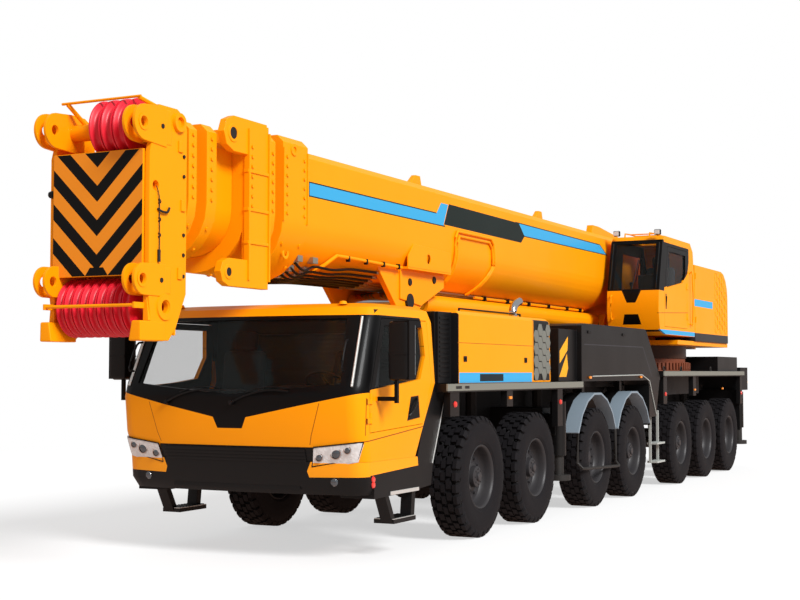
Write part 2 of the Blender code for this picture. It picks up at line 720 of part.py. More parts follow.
def operator_shell():
    """Walls of the crane operator's cab with the door side whole."""
    outer = side_prism(OPERATOR_PROFILE, OPERATOR_INNER_X, OPERATOR_OUTER_X)
    inner = side_prism(shrunk(OPERATOR_PROFILE, OPERATOR_WALL), OPERATOR_INNER_X + OPERATOR_WALL,
                       OPERATOR_OUTER_X - OPERATOR_WALL)
    screen = prism(((0.72, 3.08), (1.35, 3.08), (1.35, 3.80), (0.72, 3.80)), "Y",
                   station(6.6), station(7.35))
    side_window = side_prism(((7.50, 3.05), (7.62, 3.70), (8.70, 3.70), (8.70, 3.05)),
                             0.5, 0.8)
    roof_window = prism(((0.80, station(7.6)), (1.27, station(7.6)), (1.27, station(8.3)),
                         (0.80, station(8.3))), "Z", 3.7, 4.1)
    return cut(outer, inner), (screen, side_window, roof_window)


def operator_cab():
    """Operator's cab, open at its windscreen, windows and door."""
    shell, windows = operator_shell()
    shell = cut(shell, side_prism(OPERATOR_DOOR, 1.3, 1.6), *windows)
    for height in OPERATOR_HINGE_HEIGHTS:
        fixed, _, _ = hinge_lugs(*OPERATOR_HINGE, height, 1)
        shell = join(shell, fixed)
    return shell


def operator_door():
    """Door leaf of the operator's cab with its window cut."""
    shell, _ = operator_shell()
    leaf = boolean(shell, side_prism(shrunk(OPERATOR_DOOR, MOVING_GAP), 1.3, 1.6), "INTERSECT")
    leaf = cut(leaf, side_prism(OPERATOR_WINDOW, 1.3, 1.6))
    for height in OPERATOR_HINGE_HEIGHTS:
        _, notch, moving = hinge_lugs(*OPERATOR_HINGE, height, 1)
        leaf = join(cut(leaf, notch), moving)
    return leaf


def machinery_housing(side):
    """Cover beside the boom foot with its rounded rear upper corner."""
    low = PLATFORM_TOP - 0.07 + SEAT_GAP
    outline = [(9.10, low), (9.10, 3.60)]
    for step in range(5):
        angle = math.pi / 2 - step * math.pi / 8
        outline.append((10.95 + 0.48 * math.cos(angle), 3.12 + 0.48 * math.sin(angle)))
    outline.append((11.43, low))
    return side_prism(outline, side * (CHEEK_INNER_X + 0.18), side * 1.45)


def winch_drum():
    """Grooved drum with its two flanges."""
    half = WINCH_HALF_LENGTH - RUNNING_GAP
    profile = ((0, -half), (0.33, -half), (0.33, -half + 0.04), (0.25, -half + 0.06),
               (0.25, half - 0.06), (0.33, half - 0.04), (0.33, half), (0, half))
    return turned_across(profile, (station(WINCH_STATION), WINCH_Z), 20)


# ---------------------------------------------------------------- boom
SECTION_FRONTS = (-2.75, -2.95, -3.36, -3.90, -4.15, -4.30)
SECTION_REARS = (BOOM_TAIL_STATION, 9.9, 9.7, 9.5, 9.3, 9.1)
COLLAR_LENGTHS = (0.46, 0.10, 0.36, 0.15, 0.12)
COLLAR_GROWTH = (0.075, 0.085, 0.115, 0.10, 0.12)
ROUND_STEPS = 12


def boom_outline(half_width, top):
    """Boom section outline (x, z): a round underside, upright sides and chamfered top."""
    points = []
    for step in range(ROUND_STEPS + 1):
        angle = math.pi + step * math.pi / ROUND_STEPS
        points.append((half_width * math.cos(angle), BOOM_ROUND_Z + half_width * math.sin(angle)))
    chamfer = 0.07
    points += [(half_width, top - chamfer), (half_width - chamfer, top),
               (-half_width + chamfer, top), (-half_width, top - chamfer)]
    return points


def boom_bar(growth, number, front, rear):
    """A solid bar of one section's outline grown all round."""
    half_width = BOOM_HALF_WIDTH - number * SECTION_STEP + growth
    top = BOOM_TOP - number * SECTION_STEP + growth
    return prism(boom_outline(half_width, top), "Y", station(front), station(rear))


def boom_section(number):
    """Hollow section with a collar whose lip guides the next section."""
    front, rear = SECTION_FRONTS[number], SECTION_REARS[number]
    tube = boom_bar(0, number, front, rear)
    if number < len(COLLAR_LENGTHS):
        collar = boom_bar(COLLAR_GROWTH[number], number, front, front + COLLAR_LENGTHS[number])
        tube = join(tube, collar)
    wall_end = rear - 0.03 if number == 0 else rear + 1
    bore = boom_bar(-BOOM_WALL, number, front + 0.04, wall_end)
    body = cut(tube, bore)
    if number < 5:
        lip = boom_bar(RUNNING_GAP, number + 1, front - 1, front + 0.1)
        body = cut(body, lip)
    return body


def forked_lug(front, rear, low, high, inner_x, outer_x, nose):
    """A pair of round-nosed lug plates, one on each side of the boom."""
    middle = (low + high) / 2
    radius = (high - low) / 2
    outline = [(rear, low), (rear, high)]
    for step in range(5):
        angle = math.pi / 2 + step * math.pi / 4
        outline.append((front + radius + radius * math.cos(angle) * nose,
                        middle + radius * math.sin(angle)))
    return both_sides(side_prism(outline, inner_x, outer_x))


def boom_base():
    """Base section with its foot boss, cylinder bracket and top ears."""
    body = boom_section(0)
    half = CHEEK_INNER_X - RUNNING_GAP
    boss = cross_bar(PIVOT_STATION, PIVOT_Z, PIVOT_BOSS_RADIUS, -half, half)
    inner = boom_bar(-BOOM_WALL - 0.001, 0, SECTION_REARS[0] - 1.0, SECTION_REARS[0] - 0.035)
    bosses = cut(boss, inner)
    body = join(body, bosses)
    bracket = side_prism(((-0.55, 3.02), (0.05, 2.48), (0.55, 2.48), (1.25, 3.02)), 0.345, 0.41)
    body = join(body, *both_sides(bracket))
    for distance in (0.62, 4.65):
        ear = side_prism(((distance - 0.25, 3.93), (distance - 0.02, 4.10), (distance + 0.10, 4.10),
                          (distance + 0.16, 3.93)), 0.30, 0.36)
        body = join(body, *both_sides(ear))
    frame = side_prism(((6.70, 3.90), (6.80, 4.10), (7.10, 4.10), (8.10, 4.02), (8.20, 3.90)),
                       0.34, 0.44)
    body = join(body, *both_sides(frame))
    return cut(body, boom_bar(-BOOM_WALL, 0, SECTION_FRONTS[0] + 0.04, SECTION_REARS[0] - 0.03))


def boom_middle(number):
    """One of the four telescopic sections between base and head."""
    body = boom_section(number)
    if number == 2:
        near, far = BOOM_HALF_WIDTH + 0.008, BOOM_HALF_WIDTH + 0.08
        upper = forked_lug(-3.76, -3.05, 3.76, 4.08, near, far, 1.0)
        lower = forked_lug(-3.80, -3.05, 2.55, 2.80, near, far, 1.0)
        plate = side_box(near, far, -3.36, -3.02, 2.55, 4.06)
        body = join(body, *both_sides(plate), *upper, *lower)
        body = cut(body, boom_bar(RUNNING_GAP, 3, -4, -3.2), boom_bar(-BOOM_WALL, 2, -3.32, 12))
    return body


def head_section():
    """Innermost section with the boom head's cheeks, board and lugs."""
    tube = boom_section(5)
    cheek = side_prism(((-4.72, 3.60), (-4.72, 2.40), (-4.62, 2.05), (-4.42, 2.05), (-4.20, 2.45),
                        (-4.20, 3.88), (-4.32, 4.02), (-4.60, 4.02)),
                       HEAD_CHEEK_INNER_X, HEAD_CHEEK_OUTER_X)
    core = side_box(-0.47, 0.47, -4.725, -4.22, 2.64, 3.52)
    board = side_box(-0.47, 0.47, -4.745, -4.72, 2.585, 3.63)
    body = join(core, board, *both_sides(cheek))
    upper = forked_lug(-4.95, -4.55, 3.66, 4.01, HEAD_CHEEK_INNER_X, 0.60, 1.0)
    lower = forked_lug(-4.95, -4.55, 2.41, 2.69, HEAD_CHEEK_INNER_X, 0.60, 1.0)
    foot = side_box(HEAD_CHEEK_INNER_X, 0.60, -4.90, -4.55, 2.04, 2.21)
    body = join(body, *upper, *lower, *both_sides(foot))
    back = boom_bar(0, 5, -4.30, -4.10)
    return join(tube, back, body)


def sheave_set(distance, z, low_x, high_x, count):
    """Sheaves side by side on one shaft that runs between the cheeks."""
    half = HEAD_CHEEK_INNER_X - RUNNING_GAP
    pitch = (high_x - low_x) / count
    profile = [(0, -half), (0.05, -half), (0.05, low_x)]
    for index in range(count):
        start = low_x + index * pitch
        profile += [(SHEAVE_RADIUS, start + 0.004), (SHEAVE_RADIUS - 0.03, start + pitch / 2),
                    (SHEAVE_RADIUS, start + pitch - 0.004)]
    profile += [(0.05, high_x), (0.05, half), (0, half)]
    return turned_across(profile, (station(distance), z), SHEAVE_SIDES)


def luffing_barrels():
    """Twin luffing cylinders on one trunnion."""
    trunnion = cross_bar(TRUNNION_STATION, CYLINDER_Z, 0.12, -0.33 + RUNNING_GAP, 0.33 - RUNNING_GAP)
    body = trunnion
    for side in (-1, 1):
        centre = (side * CYLINDER_X, CYLINDER_Z)
        tube = cylinder("Y", centre, CYLINDER_RADIUS, station(1.0), station(TRUNNION_STATION), 16)
        bore = cylinder("Y", centre, CYLINDER_ROD_RADIUS + RUNNING_GAP, station(0.9), station(6.9), 16)
        body = join(body, cut(tube, bore))
    return body


def luffing_rods():
    """Twin rods joined by the crosshead at their eyes."""
    body = cross_bar(ROD_EYE_STATION, CYLINDER_Z, 0.11, -0.33, 0.33)
    for side in (-1, 1):
        rod = cylinder("Y", (side * CYLINDER_X, CYLINDER_Z), CYLINDER_ROD_RADIUS,
                       station(ROD_EYE_STATION), station(6.0), 16)
        body = join(body, rod)
    return body


# ---------------------------------------------------------------- assembly
def build_carrier():
    """Everything that rides on the road wheels."""
    part("chassis_frame", chassis_frame(), "frame_paint")
    part("carrier_deck", carrier_deck(), "dark_grey_paint")
    part("carrier_cab", carrier_cab(), "yellow_paint")
    part("windscreen", windscreen(), "dark_glass")
    part("front_bumper", front_bumper(), "black_plastic")
    part("engine_housing", engine_housing(), "yellow_paint")
    part("engine_block", engine_block(), "cast_steel")
    part("mid_housing", mid_housing(), "dark_grey_paint")
    part("slew_ring", slew_ring(), "cast_steel")
    for side, word in ((1, "left"), (-1, "right")):
        hinge = (side * CAB_DOOR_HINGE[0], station(CAB_DOOR_HINGE[1]), CAB_HINGE_HEIGHTS[0])
        part(f"{word}_cab_door", cab_door(side), "yellow_paint", hinge)
    for word, distance, side, _ in OUTRIGGERS:
        beam = f"{word}_outrigger_beam"
        part(beam, outrigger_beam(distance, side), "dark_grey_paint",
             (side * JACK_X, station(distance), BEAM_BOTTOM))
        part(f"{word}_jack", outrigger_jack(distance, side), "polished_rod",
             (side * JACK_X, station(distance), 0.5), beam)


def build_running_gear():
    """Axle groups, knuckles and wheels."""
    for numbers, word in (((1, 2), "front_axles"), ((3, 4), "middle_axles"), ((5, 6, 7), "rear_axles")):
        part(word, axle_group(numbers), "frame_paint")
    for number, distance in enumerate(axle_stations(), start=1):
        for side, word in ((1, "left"), (-1, "right")):
            hub = (side * WHEEL_X, station(distance), HUB_Z)
            carried_by = None
            if number in STEER_AXLES:
                carried_by = f"knuckle_{number}_{word}"
                part(carried_by, knuckle(distance, side), "cast_steel",
                     (side * KINGPIN_X, station(distance), HUB_Z))
            part(f"wheel_{number}_{word}", wheel(distance, side, number in DRIVEN_AXLES), "tyre_rubber",
                 hub, carried_by)


def build_superstructure():
    """Everything that slews but doesn't luff."""
    centre = (0.0, station(SLEW_STATION), PLATFORM_BOTTOM)
    base = "superstructure_frame"
    part(base, superstructure_frame(), "yellow_paint", centre)
    part("operator_cab", operator_cab(), "yellow_paint", centre, base)
    part("operator_door", operator_door(), "yellow_paint",
         (OPERATOR_HINGE[0], station(OPERATOR_HINGE[1]), OPERATOR_HINGE_HEIGHTS[0]), "operator_cab")
    part("left_machinery_housing", machinery_housing(1), "yellow_paint", centre, base)
    part("right_machinery_housing", machinery_housing(-1), "yellow_paint", centre, base)
    part("winch_drum", winch_drum(), "cast_steel", (0.0, station(WINCH_STATION), WINCH_Z), base)


def build_boom():
    """Boom sections, head sheaves and luffing cylinders."""
    base = "superstructure_frame"
    pivot = (0.0, station(PIVOT_STATION), PIVOT_Z)
    part("boom_base", boom_base(), "yellow_paint", pivot, base)
    carried_by = "boom_base"
    for number in range(1, 5):
        name = f"boom_section_{number}"
        part(name, boom_middle(number), "yellow_paint", pivot, carried_by)
        carried_by = name
    part("boom_section_5", head_section(), "yellow_paint", pivot, carried_by)
    part("upper_sheaves", sheave_set(*UPPER_SHAFT, -0.05, 0.31, 3), "red_nylon",
         (0.0, station(UPPER_SHAFT[0]), UPPER_SHAFT[1]), "boom_section_5")
    part("lower_sheaves", sheave_set(*LOWER_SHAFT, -0.38, 0.38, 9), "red_nylon",
         (0.0, station(LOWER_SHAFT[0]), LOWER_SHAFT[1]), "boom_section_5")
    trunnion = (0.0, station(TRUNNION_STATION), CYLINDER_Z)
    part("luffing_barrels", luffing_barrels(), "yellow_paint", trunnion, base)
    part("luffing_rods", luffing_rods(), "polished_rod", trunnion, "luffing_barrels")


def main():
    """Build the whole crane."""
    clear_scene()
    build_carrier()
    build_running_gear()
    build_superstructure()
    build_boom()


main()
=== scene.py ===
"""Looks, studio and camera for a seven-axle mobile crane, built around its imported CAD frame.

Every Stock works in (x, station, z): +X is the crane's left, stations count backwards
in metres from the first axle, and z is the height above the ground.
"""

import json
import logging
import math
from collections.abc import Callable, Iterable, Sequence
from dataclasses import dataclass, replace
from enum import Enum

import bmesh
import bpy
from mathutils import Matrix, Vector

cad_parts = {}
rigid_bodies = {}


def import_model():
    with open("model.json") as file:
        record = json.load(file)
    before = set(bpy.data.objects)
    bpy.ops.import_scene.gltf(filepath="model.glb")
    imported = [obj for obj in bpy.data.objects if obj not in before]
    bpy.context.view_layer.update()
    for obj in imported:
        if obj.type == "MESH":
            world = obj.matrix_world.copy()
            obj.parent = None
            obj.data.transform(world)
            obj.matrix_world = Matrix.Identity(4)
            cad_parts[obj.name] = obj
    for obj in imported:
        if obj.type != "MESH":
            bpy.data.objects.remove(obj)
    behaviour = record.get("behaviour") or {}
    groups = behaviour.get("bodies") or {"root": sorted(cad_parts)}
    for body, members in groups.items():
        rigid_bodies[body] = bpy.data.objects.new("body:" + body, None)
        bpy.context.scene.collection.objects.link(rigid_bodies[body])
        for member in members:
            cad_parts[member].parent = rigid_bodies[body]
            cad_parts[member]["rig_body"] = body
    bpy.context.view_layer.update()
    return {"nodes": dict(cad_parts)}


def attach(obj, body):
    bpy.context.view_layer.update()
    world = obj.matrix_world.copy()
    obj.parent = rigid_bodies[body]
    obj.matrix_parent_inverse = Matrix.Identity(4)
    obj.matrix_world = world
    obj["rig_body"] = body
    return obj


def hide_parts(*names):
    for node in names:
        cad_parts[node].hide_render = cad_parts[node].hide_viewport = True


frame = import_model()

LOG = logging.getLogger("crane")
FRONT_AXLE_Y = -4.2
AXLES = (0.0, 1.65, 3.90, 5.55, 8.15, 9.80, 11.45)
STEERED_AXLES = (1, 2, 6, 7)
DRIVEN_AXLES = (1, 2, 4, 5)

Flat = tuple[float, float]
Spot = tuple[float, float, float]
Colour = tuple[float, float, float, float]
Surface = Callable[[float, float], float]


class Side(Enum):
    """The two sides of the crane, with the sign of their X."""

    LEFT = 1
    RIGHT = -1

    @property
    def label(self) -> str:
        """The side's name as it stands in the CAD names."""
        return self.name.lower()


class View(Enum):
    """The direction a flat outline is drawn from, as the places of its two axes."""

    SIDE = (1, 2)
    FRONT = (0, 2)
    TOP = (0, 1)


# ------------------------------------------------------------------------- finishes


def linear(colour: str, shade: float = 1.0) -> Colour:
    """Turn an sRGB hex colour to linear light.

    Args:
        colour: The colour as "#RRGGBB".
        shade: A factor on its brightness.

    Returns:
        Red, green, blue and an alpha of one.
    """
    values = [int(colour[i:i + 2], 16) / 255 for i in (1, 3, 5)]
    light = [v / 12.92 if v <= 0.04045 else ((v + 0.055) / 1.055) ** 2.4 for v in values]
    return (light[0] * shade, light[1] * shade, light[2] * shade, 1.0)


def add_node(tree: bpy.types.NodeTree, kind: str, inputs: dict | None = None,
             **settings: object) -> bpy.types.Node:
    """Add one shader node.

    Args:
        tree: The node tree it goes into.
        kind: The node's type, without "ShaderNode".
        inputs: Sockets to link, or values to set, by input name or number.
        settings: Attributes of the node.

    Returns:
        The new node.
    """
    node = tree.nodes.new("ShaderNode" + kind)
    for name, value in settings.items():
        setattr(node, name, value)
    for name, value in (inputs or {}).items():
        if isinstance(value, bpy.types.NodeSocket):
            tree.links.new(value, node.inputs[name])
        else:
            node.inputs[name].default_value = value
    return node


def mixed(tree: bpy.types.NodeTree, share: object, first: object, second: object) -> bpy.types.NodeSocket:
    """Mix two colours.

    Args:
        tree: The node tree.
        share: How much of the second colour shows, a value or a socket.
        first: The first colour or socket.
        second: The second colour or socket.

    Returns:
        The mixed colour's socket.
    """
    return add_node(tree, "Mix", {0: share, 6: first, 7: second}, data_type="RGBA").outputs[2]


def arithmetic(tree: bpy.types.NodeTree, what: str, first: object, second: object) -> bpy.types.NodeSocket:
    """The result of one Math node on two values or sockets."""
    return add_node(tree, "Math", {0: first, 1: second}, operation=what).outputs[0]


@dataclass(frozen=True)
class Zone:
    """A painted or taped area: a convex outline seen from one side, on both sides of the crane."""

    colour: str
    outline: tuple[Flat, ...]
    view: View = View.SIDE
    edge: float = 0.0              # width of a border round it, metres
    edge_colour: str = "#1B2A24"
    planes: tuple[tuple[float, float, float, float], ...] = ()
    bands: tuple[float, ...] | None = None   # direction, period, share and start of stripes

    def reach(self, tree: bpy.types.NodeTree, place: bpy.types.NodeSocket) -> bpy.types.NodeSocket:
        """How far inside the zone a point lies.

        Args:
            tree: The node tree.
            place: The point as (|x|, station, z).

        Returns:
            A socket that is above zero inside the outline.
        """
        rows = list(self.planes)
        first, second = self.view.value
        area = sum(a[0] * b[1] - b[0] * a[1]
                   for a, b in zip(self.outline, self.outline[1:] + self.outline[:1]))
        for a, b in zip(self.outline, self.outline[1:] + self.outline[:1]):
            along = (Vector(b) - Vector(a)).normalized() * (1 if area > 0 else -1)
            row = [0.0, 0.0, 0.0, 0.0]
            row[first], row[second] = -along.y, along.x
            row[3] = along.y * a[0] - along.x * a[1]
            rows.append(tuple(row))
        inside = None
        for x, station, z, offset in rows:
            dot = add_node(tree, "VectorMath", {0: place, 1: (x, station, z)}, operation="DOT_PRODUCT")
            depth = arithmetic(tree, "ADD", dot.outputs["Value"], offset)
            inside = depth if inside is None else arithmetic(tree, "MINIMUM", inside, depth)
        return inside

    def tint(self, tree: bpy.types.NodeTree, place: bpy.types.NodeSocket,
             below: bpy.types.NodeSocket) -> bpy.types.NodeSocket:
        """Lay the zone's colour over what is below.

        Args:
            tree: The node tree.
            place: The point as (|x|, station, z).
            below: The colour so far.

        Returns:
            The colour with the zone on it.
        """
        inside = self.reach(tree, place)
        if self.edge:
            below = mixed(tree, arithmetic(tree, "GREATER_THAN", inside, -self.edge), below,
                          linear(self.edge_colour))
        share = arithmetic(tree, "GREATER_THAN", inside, 0.0)
        if self.bands:
            x, station, z, period, part, start = self.bands
            dot = add_node(tree, "VectorMath", {0: place, 1: (x, station, z)}, operation="DOT_PRODUCT")
            phase = arithmetic(tree, "SUBTRACT", dot.outputs["Value"], start)
            turn = arithmetic(tree, "FLOORED_MODULO", arithmetic(tree, "DIVIDE", phase, period), 1.0)
            share = arithmetic(tree, "MULTIPLY", share, arithmetic(tree, "LESS_THAN", turn, part))
        return mixed(tree, share, below, linear(self.colour))


@dataclass(frozen=True)
class Finish:
    """One surface finish: its colour, its gloss and the fine detail of how it was made."""

    name: str
    colour: str
    roughness: float
    slot: str = ""
    metallic: float = 0.0
    coat: float = 0.0
    shade: float = 0.10            # how much darker the patches are
    patch: float = 0.7             # size of the patches, metres
    grain: float = 0.012           # size of the relief, metres
    relief: float = 0.05           # strength of the relief
    dust: float = 0.0              # road dust near the ground
    clear: float = 0.0             # how much light passes
    mirror: float = 0.5            # how strongly the surface mirrors the room
    glow: float = 0.0
    zones: tuple[Zone, ...] = ()

    def material(self) -> bpy.types.Material:
        """Build the material, or find it if it was built before.

        Returns:
            The Blender material.
        """
        found = bpy.data.materials.get(self.name)
        if found:
            return found
        made = bpy.data.materials.new(self.name)
        made.use_nodes = True
        tree = made.node_tree
        tree.nodes.clear()
        spot = add_node(tree, "TexCoord").outputs["Object"]
        patches = add_node(tree, "TexNoise", {"Vector": spot, "Scale": 1 / self.patch, "Detail": 4.0})
        fine = add_node(tree, "TexNoise", {"Vector": spot, "Scale": 1 / self.grain, "Detail": 2.0})
        colour = mixed(tree, patches.outputs["Fac"], linear(self.colour), linear(self.colour, 1 - self.shade))
        if self.zones:
            colour = self.livery(tree, spot, colour)
        if self.dust:
            colour = self.dusted(tree, spot, patches.outputs["Fac"], colour)
        gloss = add_node(tree, "MapRange", {"Value": patches.outputs["Fac"],
                                            "To Min": self.roughness * 0.85, "To Max": self.roughness * 1.15})
        bump = add_node(tree, "Bump", {"Height": fine.outputs["Fac"], "Strength": self.relief,
                                       "Distance": self.grain * 0.4})
        shader = add_node(tree, "BsdfPrincipled", {
            "Base Color": colour, "Roughness": gloss.outputs["Result"], "Metallic": self.metallic,
            "Coat Weight": self.coat, "Coat Roughness": 0.08, "Alpha": 1 - self.clear,
            "Specular IOR Level": self.mirror, "Normal": bump.outputs["Normal"]})
        if self.glow:
            shader.inputs["Emission Color"].default_value = linear(self.colour)
            shader.inputs["Emission Strength"].default_value = self.glow
        add_node(tree, "OutputMaterial", {"Surface": shader.outputs[0]})
        return made

    def livery(self, tree: bpy.types.NodeTree, spot: bpy.types.NodeSocket,
               colour: bpy.types.NodeSocket) -> bpy.types.NodeSocket:
        """Lay the finish's zones over its colour.

        Args:
            tree: The node tree.
            spot: The object coordinates.
            colour: The colour so far.

        Returns:
            The colour with every zone on it.
        """
        parts = add_node(tree, "SeparateXYZ", {0: spot})
        station = arithmetic(tree, "SUBTRACT", parts.outputs[1], FRONT_AXLE_Y)
        place = add_node(tree, "CombineXYZ", {0: arithmetic(tree, "ABSOLUTE", parts.outputs[0], 0.0),
                                              1: station, 2: parts.outputs[2]}).outputs[0]
        for zone in self.zones:
            colour = zone.tint(tree, place, colour)
        return colour

    def dusted(self, tree: bpy.types.NodeTree, spot: bpy.types.NodeSocket,
               patches: bpy.types.NodeSocket, colour: bpy.types.NodeSocket) -> bpy.types.NodeSocket:
        """Lay road dust over the colour, thicker near the ground.

        Args:
            tree: The node tree.
            spot: The object coordinates.
            patches: Slow noise that breaks the dust up.
            colour: The colour so far.

        Returns:
            The dusty colour.
        """
        height = add_node(tree, "SeparateXYZ", {0: spot}).outputs[2]
        low = add_node(tree, "MapRange", {"Value": height, "From Min": 0.1, "From Max": 1.7,
                                          "To Min": self.dust, "To Max": self.dust * 0.25})
        share = arithmetic(tree, "MULTIPLY", low.outputs["Result"], patches)
        return mixed(tree, share, colour, linear("#8C8478"))


YELLOW = "#FB9C04"
BLACK = "#070708"
BLUE = "#3AA2D6"

# Two-pack acrylic enamel sprayed on steel: a glossy clear coat over a strong warm yellow.
YELLOW_ENAMEL = Finish("yellow_acrylic_enamel", YELLOW, 0.40, "yellow_paint", coat=0.06, shade=0.07,
                       mirror=0.10)
# The same black on welded plate: satin, a little dusty.
BLACK_ENAMEL = Finish("black_satin_enamel", "#0D0D0E", 0.42, "dark_grey_paint", coat=0.04, dust=0.012,
                      mirror=0.22)
# Thick chassis enamel brushed and sprayed on rough steel: duller and dustier.
CHASSIS_ENAMEL = Finish("chassis_enamel", "#161719", 0.52, "frame_paint", dust=0.03, relief=0.12, mirror=0.2)
# Moulded polypropylene: fine even grain and a soft sheen.
MOULDED_PLASTIC = Finish("moulded_polypropylene", "#0B0B0C", 0.46, "black_plastic", grain=0.006, relief=0.15,
                         mirror=0.22)
# Polished gloss black plastic round the glass.
GLOSS_BLACK = Finish("gloss_black_acrylic", "#050506", 0.14, "black_plastic", coat=0.2, relief=0.01,
                     mirror=0.4)
# Carbon-black rubber: matt, slightly bloomed, dusty in the tread.
TYRE_RUBBER = Finish("carbon_black_rubber", "#100E12", 0.80, "tyre_rubber", shade=0.25, patch=0.25,
                     grain=0.010, relief=0.3, dust=0.012, mirror=0.2)
# Steel disc wheels dipped in grey enamel.
WHEEL_ENAMEL = Finish("grey_wheel_enamel", "#2C2B2E", 0.45, "cast_steel", dust=0.05, patch=0.2, mirror=0.3)
# Cast and forged steel under dark primer.
CAST_STEEL = Finish("primed_cast_steel", "#201E1D", 0.6, "cast_steel", grain=0.006, relief=0.4, dust=0.04,
                    mirror=0.3)
# Ground and chromed piston rod.
CHROMED_STEEL = Finish("hard_chromed_steel", "#C9CCD0", 0.14, "polished_rod", metallic=1.0, relief=0.01)
# Cast polyamide sheaves, dyed red in the mass.
RED_POLYAMIDE = Finish("red_cast_polyamide", "#E01830", 0.42, "red_nylon", shade=0.18, patch=0.2)
# Tinted laminated glass.
TINTED_GLASS = Finish("tinted_laminated_glass", "#18201F", 0.03, "dark_glass", clear=0.84, shade=0.02, relief=0.0,
                      coat=0.3)
# Zinc-plated steel pipes and small fittings.
ZINC_PLATE = Finish("zinc_plated_steel", "#B9B4A6", 0.32, "cast_steel", metallic=0.9, grain=0.005, relief=0.2)
# Slushed steel wire rope on the winch.
WIRE_ROPE = Finish("greased_wire_rope", "#4A453E", 0.5, "cast_steel", metallic=0.6, grain=0.006, relief=0.8)
# Painted grey-blue mudguards.
MUDGUARD_ENAMEL = Finish("grey_blue_enamel", "#7B8994", 0.42, "dark_grey_paint", dust=0.05)

# Vacuum-coated reflector behind moulded facets.
REFLECTOR = Finish("faceted_lamp_reflector", "#F2F4F5", 0.12, "black_plastic", metallic=0.35, shade=0.45,
                   patch=0.05, grain=0.02, relief=1.0, coat=0.6)
# Clear lamp lens over a dark projector.
LENS = Finish("clear_lamp_lens", "#3A4046", 0.05, "dark_glass", coat=1.0, relief=0.0)
# Red acrylic lens with a faint glow; on the side reflectors, which are no lamps, this glow is painted light.
RED_LENS = Finish("red_acrylic_lens", "#D2281E", 0.15, "red_nylon", coat=0.6, relief=0.05, glow=0.15)
# Amber acrylic lens.
AMBER_LENS = Finish("amber_acrylic_lens", "#F08A14", 0.15, "yellow_paint", coat=0.6, glow=0.15)
# Anodised aluminium trim.
SILVER_TRIM = Finish("anodised_aluminium", "#D4D5D2", 0.28, "polished_rod", metallic=0.55, grain=0.004, relief=0.1)
# Silvered mirror glass.
MIRROR_GLASS = Finish("silvered_mirror", "#E4E8EA", 0.03, "dark_glass", metallic=1.0, relief=0.0, shade=0.02)
# Woven polyester seat cover.
SEAT_FABRIC = Finish("woven_seat_cover", "#2A2B2E", 0.9, "black_plastic", grain=0.004, relief=0.6)
# Grey printed honeycomb cells.
CELL_GREY = Finish("grey_honeycomb_cells", "#74766F", 0.5, "black_plastic", shade=0.2, relief=0.1, mirror=0.3)
# Pale grey moulding.
PALE_MOULDING = Finish("pale_grey_moulding", "#A9ADA9", 0.5, "black_plastic", shade=0.12, relief=0.1)
# Brown-red primed gear teeth.
PRIMED_STEEL = Finish("red_oxide_primer", "#7A3A1C", 0.6, "cast_steel", shade=0.3, patch=0.1, relief=0.3)


# ---------------------------------------------------------------------- mesh making


def smooth_path(points: Sequence[Spot], steps: int = 5) -> list[Vector]:
    """A smooth curve through the points.

    Args:
        points: The route's own points.
        steps: How many pieces each stretch is cut into.

    Returns:
        The points of the curve.
    """
    ends = [Vector(points[0]) * 2 - Vector(points[1]), *map(Vector, points),
            Vector(points[-1]) * 2 - Vector(points[-2])]
    path = []
    for a, b, c, d in zip(ends, ends[1:], ends[2:], ends[3:]):
        for step in range(steps):
            t = step / steps
            path.append(0.5 * (2 * b + (c - a) * t + (2 * a - 5 * b + 4 * c - d) * t * t
                               + (3 * b - a - 3 * c + d) * t ** 3))
    path.append(Vector(points[-1]))
    return path


